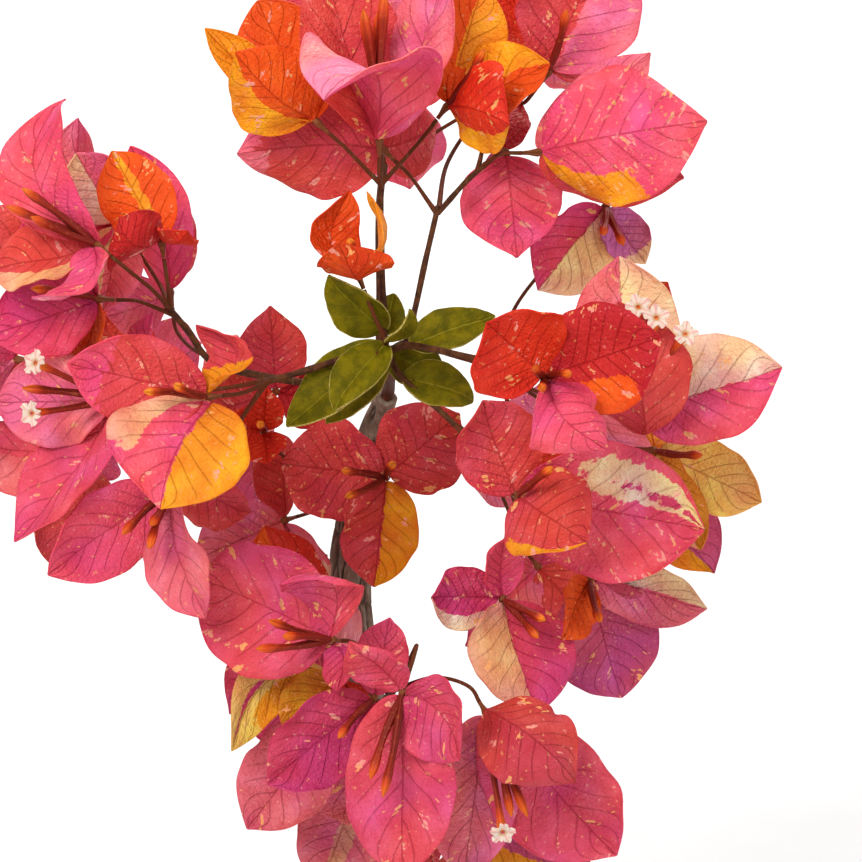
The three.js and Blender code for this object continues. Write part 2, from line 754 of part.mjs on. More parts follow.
// Each leafy stem: shoots are routes with their radii, pedicels run through places to a bloom, and
// leaves have a base, a tip, a half-width and the way that they face.
const LEAFY_STEMS = {
  stem_front: {
    shoots: [
      {
        route: [[-12.41, 9.75, -75.6], [-11.8, 11.6, -72.8], [-12, 17, -40], [-13, 22, -15], [-12.5, 25.5, 3]],
        radii: [2.4, 1.2],
      },
      { route: [[-13, 23, -8], [-13, 31, -5], [-13.5, 40, -5], [-14, 56, -7], [-14, 70, -7]], radii: [1.2, 1] },
      { route: [[-12.8, 21.8, -15.5], [-7, 25, -10], [-4.5, 34, -9], [-1.5, 48, -10], [2, 63, -11]], radii: [1.2, 1] },
      { route: [[2, 61, -11], [10, 70, -8], [17, 76, -4]], radii: [1, 0.9] },
      { route: [[-12.8, 22.6, -12], [-6, 24, -2], [0, 23, 3], [7, 21.5, 9], [14, 20, 16]], radii: [1.3, 1.1] },
      { route: [[-12.5, 23, -8], [-9, 16, -7], [0, 8, -6], [8.5, 0, -4]], radii: [1.2, 1] },
      { route: [[-13, 23, -6], [-22, 21, -1], [-36.5, 16.5, 3], [-47, 13.5, 8]], radii: [1.3, 1.1] },
      {
        route: [[-12, 16.6, -42], [-24, 13, -30], [-45, 15, -22], [-62, 20, -16], [-68, 28, -12], [-74, 35, -9]],
        radii: [1.5, 1.2],
      },
    ],
    pedicels: [
      { to: "top_middle", through: [[-14, 68, -7]] },
      { to: "top_left", through: [[-14, 69, -7]] },
      { to: "top_right", through: [[-14, 69, -7]] },
      { to: "top_low", through: [[1.5, 61, -11]] },
      { to: "top_far_right", through: [[2, 61, -11], [5, 76, -31], [14, 88, -39], [24, 92, -30]] },
      { to: "upper_right", through: [[15, 74.5, -5]] },
      { to: "upper_right_hanging", through: [[13, 73, -6]] },
      { to: "right_front", through: [[12, 20.5, 14]] },
      { to: "right_beige", through: [[4, 22, 6], [16, 18, 2], [32, 10, -9]] },
      { to: "right_yellow", through: [[4, 22, 6], [16, 18, 2], [32, 8, -16]] },
      { to: "right_lower", through: [[7, 1.5, -4]] },
      { to: "right_folded", through: [[8, 1, -4], [20, -11, -16], [24, -27, -27]] },
      { to: "right_under", through: [[8, 1, -4], [20, -10, -18], [31, -22, -28]] },
      { to: "left_front", through: [[-45, 14, 7]] },
      { to: "left_lower", through: [[-46, 13.8, 7.5], [-52, 5, 4], [-57, -3, 0]] },
      { to: "left_starred", through: [[-42, 15, 5], [-58, 12, -2]] },
      { to: "left_upper_inner", through: [[-73, 34, -10]] },
      { to: "left_upper", through: [[-73, 34, -10], [-78, 39.5, 1]] },
      { to: "left_middle", through: [[-71, 32, -11]] },
      { to: "left_back", through: [[-62, 20.5, -16], [-68, 24, -33]] },
      { to: "left_cream", through: [[-73, 34, -10], [-76, 41, -20]] },
      { to: "centre_young", through: [[-12.7, 25, 0]] },
    ],
    leaves: [
      { base: [-13, 28, -6.2], tip: [-29, 43, 4], wide: 8, face: [-0.3, -0.5, 0.8] },
      { base: [-13, 27, -6.5], tip: [-10.5, 38, -8], wide: 5, face: [0, 0, 1] },
      { base: [-12.6, 25, 1], tip: [-5, 33, 12], wide: 4, face: [0.6, -0.4, 0.7] },
      { base: [-12.9, 24, -3], tip: [-40, 1, 2], wide: 8.5, face: [-0.2, 0.3, 0.9] },
      { base: [-12.7, 24.8, 0], tip: [-27.5, 6.5, 11], wide: 7, face: [-0.2, 0.3, 0.9] },
      { base: [-6, 24, -2.5], tip: [17.5, 31.5, -6], wide: 6.5, face: [0, 0.4, 0.9] },
      { base: [-8, 15, -7], tip: [13, 9, -12], wide: 7, face: [0.1, 0.4, 0.9] },
      { base: [-12.7, 20.5, -22], tip: [-29, 2, -16], wide: 6, face: [0, 0.3, 1] },
      { base: [-12.6, 21.6, -17], tip: [4, 14.5, -18], wide: 7, face: [0.1, 0.2, 1] },
    ],
  },
  stem_centre: {
    shoots: [{ route: [[-19.4, -18, -92.3], [-19, -16.5, -86], [-16, -13, -79]], radii: [1.8, 1.2] }],
    pedicels: [
      { to: "centre", through: [[-16.4, -13.4, -80]] },
      { to: "centre_low", through: [[-19.2, -17, -88], [-26, -20, -89]] },
      { to: "centre_orange", through: [[-17.6, -15, -83], [-32, -12, -79]] },
      { to: "centre_left", through: [[-18.8, -16.2, -86], [-26, 2, -88]] },
    ],
    leaves: [],
  },
  stem_bottom: {
    shoots: [
      {
        route: [[-18.4, -84, -95.5], [-17, -81, -70], [-14, -77, -46], [-10, -72, -24]],
        radii: [2.4, 1.3],
      },
    ],
    pedicels: [
      { to: "bottom_left", through: [[-11.5, -73.5, -32], [-17, -63, -15]] },
      { to: "bottom_yellow", through: [[-11.7, -73.7, -33]] },
      { to: "bottom_low_left", through: [[-13.4, -76, -42]] },
      { to: "bottom_middle", through: [[-10.2, -72.2, -25]] },
      { to: "bottom_front", through: [[-10.5, -72.5, -26], [-7, -66, -12], [-4, -60, 2]] },
      { to: "bottom_back", through: [[-16.4, -80, -66], [-15.6, -88, -58]] },
      { to: "bottom_right", through: [[-10.5, -72.5, -26], [2, -69, -12]] },
      { to: "back_low_left", through: [[-13.8, -76.6, -45], [-22, -68, -44]] },
      { to: "back_low", through: [[-15.5, -79, -59], [-2, -88, -48]] },
    ],
    leaves: [],
  },
  stem_back_upper: {
    shoots: [
      {
        route: [[-16, 3.9, -92.5], [-14.6, 14, -101], [-14.2, 40, -105], [-14.2, 66, -104], [-12, 80, -102]],
        radii: [2, 1.4],
      },
    ],
    pedicels: [
      { to: "back_top_left", through: [[-14.2, 67, -104], [-14, 82, -82]] },
      { to: "back_top", through: [[-12.4, 78, -102.4]] },
      { to: "back_top_right", through: [[-13, 75, -103], [2, 84, -82]] },
      { to: "deep_upper", through: [[-13.2, 73, -103], [-11, 84, -116]] },
    ],
    leaves: [],
  },
  stem_back_left: {
    shoots: [
      {
        route: [[-29.5, -36, -105], [-42, -30, -106], [-56, -18, -104], [-69, -4, -96]],
        radii: [2.2, 1.4],
      },
    ],
    pedicels: [
      { to: "back_left", through: [[-67, -6, -97]] },
      { to: "back_left_lower", through: [[-64, -9.5, -99], [-76, -9, -80]] },
      { to: "back_left_upper", through: [[-68, -5, -96.6], [-76, 12, -80], [-84, 28, -66]] },
      { to: "back_left_outer", through: [[-67.5, -5.6, -97], [-84, 4, -72], [-94, 12, -54]] },
      { to: "deep_left", through: [[-46, -27, -105.6], [-44, -14, -124]] },
    ],
    leaves: [],
  },
  stem_back_right: {
    shoots: [
      { route: [[-12.1, -10, -96], [-2, -6, -98], [14, -2, -98], [26, 0, -94]], radii: [2.2, 1.4] },
    ],
    pedicels: [
      { to: "back_right_upper", through: [[24, 0, -95], [30, 2, -78]] },
      { to: "back_right", through: [[25, 0, -94.4], [36, -5, -95]] },
      { to: "back_right_lower", through: [[12, -2.5, -98], [19, -16, -82]] },
      { to: "deep_right", through: [[10, -3, -98], [17, -4, -126]] },
      { to: "upper_right_lilac", through: [[22, -0.6, -95.6], [21, 28, -84], [32, 46, -62]] },
    ],
    leaves: [],
  },
};

function leaf({ base, tip, wide, face }) {
  const facing = aim(face);
  const from = place(base);
  const to = place(tip);
  return blade({
    base: from,
    tip: to,
    via: from.clone().lerp(to, 0.5).addScaledVector(facing, 1.5),
    face: facing,
    wide,
    cup: 0.3,
    outline: LEAF_OUTLINE,
    rows: LEAF_ROWS,
    thick: LEAF_THICK,
  });
}

// A pedicel ends on the bloom's collar, a gap short of it and in line with it.
function pedicel({ to, through }) {
  const bloom = BLOOMS[to] ?? BACK_BLOOMS[to];
  const back = aim(bloom.stalk ?? bloom.facing.map((part) => -part));
  const end = place(bloom.heart).addScaledVector(back, COLLAR_LENGTH + GAP);
  const straight = end.clone().addScaledVector(back, STRAIGHT);
  return stem([...through.map(place), straight, end], [PEDICEL_RADIUS, PEDICEL_RADIUS], 3, through.length + 1);
}

function leafyStemSolid({ shoots, pedicels, leaves }) {
  return fuse([
    ...shoots.map(({ route, radii }) => stem(route.map(place), radii, 4, route.length)),
    ...pedicels.map(pedicel),
    ...leaves.map(leaf),
  ]);
}

// ---------------------------------------------------------------- pot, soil and trunk

// A closed profile turned about the axis, then drawn out to the tray's soft rectangle.
function tray(profile) {
  const lathe = new THREE.LatheGeometry(profile.map(([x, y]) => new THREE.Vector2(x, y)), POT_FACETS);
  lathe.rotateX(Math.PI / 2);
  const at = lathe.attributes.position;
  const ratio = POT_HALF_WIDTH / POT_HALF_LENGTH;
  for (let i = 0; i < at.count; i += 1) {
    const angle = Math.atan2(at.getY(i), at.getX(i));
    const across = Math.abs(Math.cos(angle)) ** POT_CORNER_POWER;
    const deep = (Math.abs(Math.sin(angle)) / ratio) ** POT_CORNER_POWER;
    const stretch = (across + deep) ** (-1 / POT_CORNER_POWER);
    at.setXYZ(i, at.getX(i) * stretch, at.getY(i) * stretch, at.getZ(i));
  }
  return solid(lathe);
}

const POT_BASE = POT_FOOT_HEIGHT;
const POT_INSIDE = POT_FOOT_HEIGHT + POT_FLOOR;

function potSolid() {
  const rim = POT_HALF_LENGTH;
  const body = tray([
    [0, POT_BASE],
    [rim - 15, POT_BASE],
    [rim - 10, POT_BASE + 6],
    [rim - POT_LIP, POT_HEIGHT - 8],
    [rim, POT_HEIGHT - 7],
    [rim, POT_HEIGHT - 1],
    [rim - 1, POT_HEIGHT],
    [rim - POT_WALL, POT_HEIGHT],
    [rim - POT_LIP - POT_WALL - 1, POT_HEIGHT - 8],
    [rim - POT_WALL - 10, POT_INSIDE + 5],
    [rim - POT_WALL - 16, POT_INSIDE],
    [0, POT_INSIDE],
  ]);
  let pot = body;
  for (const x of [-1, 1]) {
    for (const y of [-1, 1]) {
      const foot = new THREE.BoxGeometry(POT_FOOT_SIZE, POT_FOOT_SIZE * 0.6, POT_FOOT_HEIGHT + 2);
      foot.translate(x * POT_FOOT_AT[0], y * POT_FOOT_AT[1], (POT_FOOT_HEIGHT + 2) / 2);
      pot = pot.add(solid(foot));
    }
    const drain = new THREE.CylinderGeometry(DRAIN_RADIUS, DRAIN_RADIUS, 30, 12);
    drain.rotateX(Math.PI / 2);
    drain.translate(x * DRAIN_AT, 0, POT_FOOT_HEIGHT);
    pot = pot.subtract(solid(drain));
  }
  return pot;
}

// The woody trunk, from the soil up and back behind the flowers; its first places are in the pot's
// frame and the rest in the crown's.
const TRUNK_ROUTE = [
  new THREE.Vector3(16, -2, SOIL_TOP_EDGE + SOIL_CROWN - SOIL_HOLE_DEPTH),
  new THREE.Vector3(15, -3, SOIL_TOP_EDGE),
  new THREE.Vector3(12, -9, SOIL_TOP_EDGE + 28),
  place([-11.5, -120, -101]),
  place([-17, -92, -104]),
  place([-22, -64, -106]),
  place([-23, -44, -106]),
  place([-20, -19, -101]),
  place([-16, 0, -90]),
  place([-12.5, 9.5, -76]),
];
const TRUNK_RADII = [15, 13.5, 11.5, 10, 9, 8.2, 7.4, 6.4, 5, 3.4];

function trunkCore(extra) {
  const radiusAt = (along, angle) => {
    const reach = along * (TRUNK_RADII.length - 1);
    const low = Math.min(Math.floor(reach), TRUNK_RADII.length - 2);
    const plain = THREE.MathUtils.lerp(TRUNK_RADII[low], TRUNK_RADII[low + 1], reach - low);
    const flare = ROOT_FLARE * Math.max(0, 1 - along * 4) ** 2 + 0.05;
    return plain * (1 + flare * Math.cos(TRUNK_RIDGES * angle)) + extra;
  };
  return sweep(TRUNK_ROUTE, radiusAt, TRUNK_FACETS, 18);
}

function soilSolid() {
  const wall = POT_HALF_LENGTH - POT_WALL;
  const fill = tray([
    [0, POT_INSIDE + GAP],
    [wall - 16 - 2 * GAP, POT_INSIDE + GAP],
    [wall - 10 - 2 * GAP, POT_INSIDE + 5 + GAP],
    [wall - 6 - 2 * GAP, SOIL_TOP_EDGE],
    [wall * 0.6, SOIL_TOP_EDGE + SOIL_CROWN * 0.8],
    [0, SOIL_TOP_EDGE + SOIL_CROWN],
  ]);
  return fill.subtract(trunkCore(GAP * 1.5));
}

// ---------------------------------------------------------------- the bonsai

const CERAMIC = { color: 0x4a423c, roughness: 0.7, metalness: 0 };
const EARTH = { color: 0x3a2c22, roughness: 1, metalness: 0 };
const BARK = { color: 0x7d6a58, roughness: 0.9, metalness: 0 };
const SHOOT = { color: 0x6f6a2c, roughness: 0.7, metalness: 0 };
const CORAL = { color: 0xd8434e, roughness: 0.6, metalness: 0 };

const bonsai = new THREE.Group();

function add(name, manifold, look) {
  const mesh = new THREE.Mesh(geometryOf(manifold), new THREE.MeshStandardMaterial(look));
  mesh.name = name;
  bonsai.add(mesh);
}

add("pot", potSolid(), CERAMIC);
add("soil", soilSolid(), EARTH);
add("trunk", trunkCore(0), BARK);
for (const [name, entry] of Object.entries(LEAFY_STEMS)) add(name, leafyStemSolid(entry), SHOOT);
for (const [name, entry] of Object.entries(BLOOMS)) add(`bloom_${name}`, bloomSolid(entry), CORAL);
Object.entries(BACK_BLOOMS).forEach(([name, entry], i) => {
  add(`bloom_${name}`, farBloomSolid(entry, seeded(i + 1)), CORAL);
});

export default bonsai;
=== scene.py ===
"""Bougainvillea bonsai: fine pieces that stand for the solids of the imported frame."""

import math
from functools import cache
from types import SimpleNamespace

import bpy
import numpy as np
from mathutils import Matrix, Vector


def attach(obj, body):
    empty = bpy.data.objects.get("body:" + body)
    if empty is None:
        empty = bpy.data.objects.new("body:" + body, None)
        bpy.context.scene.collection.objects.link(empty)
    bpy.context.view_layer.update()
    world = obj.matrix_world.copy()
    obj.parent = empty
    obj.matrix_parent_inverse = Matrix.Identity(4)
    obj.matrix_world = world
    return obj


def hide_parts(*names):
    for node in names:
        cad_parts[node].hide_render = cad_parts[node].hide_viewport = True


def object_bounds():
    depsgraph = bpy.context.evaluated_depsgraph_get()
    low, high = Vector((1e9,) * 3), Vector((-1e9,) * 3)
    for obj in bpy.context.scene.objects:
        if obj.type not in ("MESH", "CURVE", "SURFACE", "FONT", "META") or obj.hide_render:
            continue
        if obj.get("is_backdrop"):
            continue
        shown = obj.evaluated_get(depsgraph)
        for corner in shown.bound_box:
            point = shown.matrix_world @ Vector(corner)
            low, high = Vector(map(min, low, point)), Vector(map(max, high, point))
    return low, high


bl_info = {
    "name": "Bougainvillea Bonsai",
    "version": (1, 0, 0),
    "blender": (4, 5, 0),
    "location": "3D View > Sidebar > Bonsai",
    "description": "Makes the tray, soil, trunk, leafy stems and papery blooms of a bougainvillea bonsai",
    "category": "Add Mesh",
}

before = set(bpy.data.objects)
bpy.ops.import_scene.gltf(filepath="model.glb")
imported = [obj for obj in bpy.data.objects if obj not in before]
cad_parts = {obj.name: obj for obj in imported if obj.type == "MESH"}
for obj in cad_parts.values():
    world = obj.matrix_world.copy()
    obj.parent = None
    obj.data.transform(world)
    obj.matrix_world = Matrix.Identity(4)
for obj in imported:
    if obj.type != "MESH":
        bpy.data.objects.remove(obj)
CAD_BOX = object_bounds()

# A millimetre in metres and a centimetre in millimetres.
MM = 0.001
CM = 10.0

# ---------------------------------------------------------------- sizes, in millimetres

POT_HALF_LENGTH = 100.0
POT_HALF_WIDTH = 70.0
POT_CORNER_POWER = 3.2
POT_HEIGHT = 54.0
POT_WALL = 6.0
POT_FLOOR = 6.0
POT_LIP = 5.0
POT_FOOT_HEIGHT = 7.0
POT_FOOT_SIZE = (26.0, 15.6)
POT_FOOT_AT = (62.0, 38.0)
DRAIN_RADIUS = 7.0
DRAIN_AT = 42.0
SOIL_TOP_EDGE = 46.0
SOIL_CROWN = 5.0
SOIL_HOLE_DEPTH = 30.0
GRIT_SEED = 11
TRUNK_FOOT = (16.0, -2.0)
TRUNK_AT_SOIL = (14.8, -3.4)
TRUNK_RIDGES = 4
ROOT_FLARE = 0.3
HOLE_ROOM = 0.6
GAP = 0.3

CROWN_AT = np.array([25.0, -69.0, 268.0])
FRONT_RISE = math.radians(20)
FRONT_AWAY = 900.0
HALF_FRAME = 431 * 0.28
RIGHT = np.array([1.0, 0.0, 0.0])
UP = np.array([0.0, math.sin(FRONT_RISE), math.cos(FRONT_RISE)])
TOWARD = np.array([0.0, -math.cos(FRONT_RISE), math.sin(FRONT_RISE)])

BRACT_ROOT = 1.3
BRACT_CUP = 0.35
BRACT_BOW = 2.0
BRACT_OUTLINE = (0.65, 0.6)
FAR_OUTLINE = (0.8, 0.65)
LEAF_OUTLINE = (0.65, 0.8)
LEAF_CUP = 0.3
LEAF_GRID = (34, 19)
COLLAR_LENGTH = 4.5
CREASE = 0.3
VEIN_PAIRS = 7.0
VEIN_SLANT = 0.34
FLECKS = 0.4
STAR_THICKNESS = 0.35

# Slots of a bloom's materials after its paper and of a stem's after its bark, and the values by which
# those materials tell their tubes apart.
TUBE, STAR, LEAF = 1, 2, 1
COLLAR_KIND, SHOOT_KIND, MIDRIB_KIND, PEDICEL_KIND, TUBE_KIND = 0.1, 0.2, 0.6, 0.8, 1.0

# Painted shade on the lower bracts: a low bract's paper is darkened to this share of its colour at the first
# height, all of it at the second.
DEEPEST = 0.8
DEEP_BETWEEN = (190, 300)

# ---------------------------------------------------------------- papers of the bracts, linear light

PAPERS = {
    "coral": (0.70, 0.062, 0.062),
    "pink": (0.84, 0.082, 0.145),
    "rose": (0.86, 0.15, 0.20),
    "blush": (0.97, 0.25, 0.27),
    "red": (0.52, 0.018, 0.022),
    "scarlet": (0.74, 0.036, 0.012),
    "flame": (0.66, 0.052, 0.004),
    "tangerine": (0.82, 0.085, 0.007),
    "amber": (0.90, 0.30, 0.012),
    "ochre": (0.72, 0.24, 0.014),
    "straw": (0.88, 0.48, 0.10),
    "cream": (0.90, 0.56, 0.31),
    "peach": (0.86, 0.36, 0.20),
    "magenta": (0.68, 0.05, 0.13),
    "mauve": (0.6, 0.075, 0.17),
    "lilac": (0.58, 0.13, 0.24),
}

# Places are across, up and toward the viewer from the crown's middle.


def bract(
    tip, wide, paper, start=None, via=None, face=None, cup=BRACT_CUP, outside=None, flecks=FLECKS, sectors=()
):
    """A bract from `start`, or else its bloom's heart, through `via` to its tip. `wide` is its greatest
    half-width, `face` where its inner side looks if not its bloom's way, and `outside` its other side's
    paper. A sector is a paper and the lines that bound it: a * rib + b * reach + c is above 0 inside,
    with rib from -1 to 1 across the bract and reach from 0 at its base to 1 at its tip."""
    return SimpleNamespace(**locals())


def bloom(heart, stalk, facing, *bracts, tubes=(), stars=(), girth=1.0):
    """A bloom whose bracts join at its heart. Its pedicel lies toward `stalk`, its inner side looks to
    `facing`, and its closed tubes, `girth` times as thick as plain ones, and open stars end where given."""
    return SimpleNamespace(**locals())


def shoot(thick, thin, *route):
    """A shoot that thins from one radius to another along its route."""
    return SimpleNamespace(**locals())


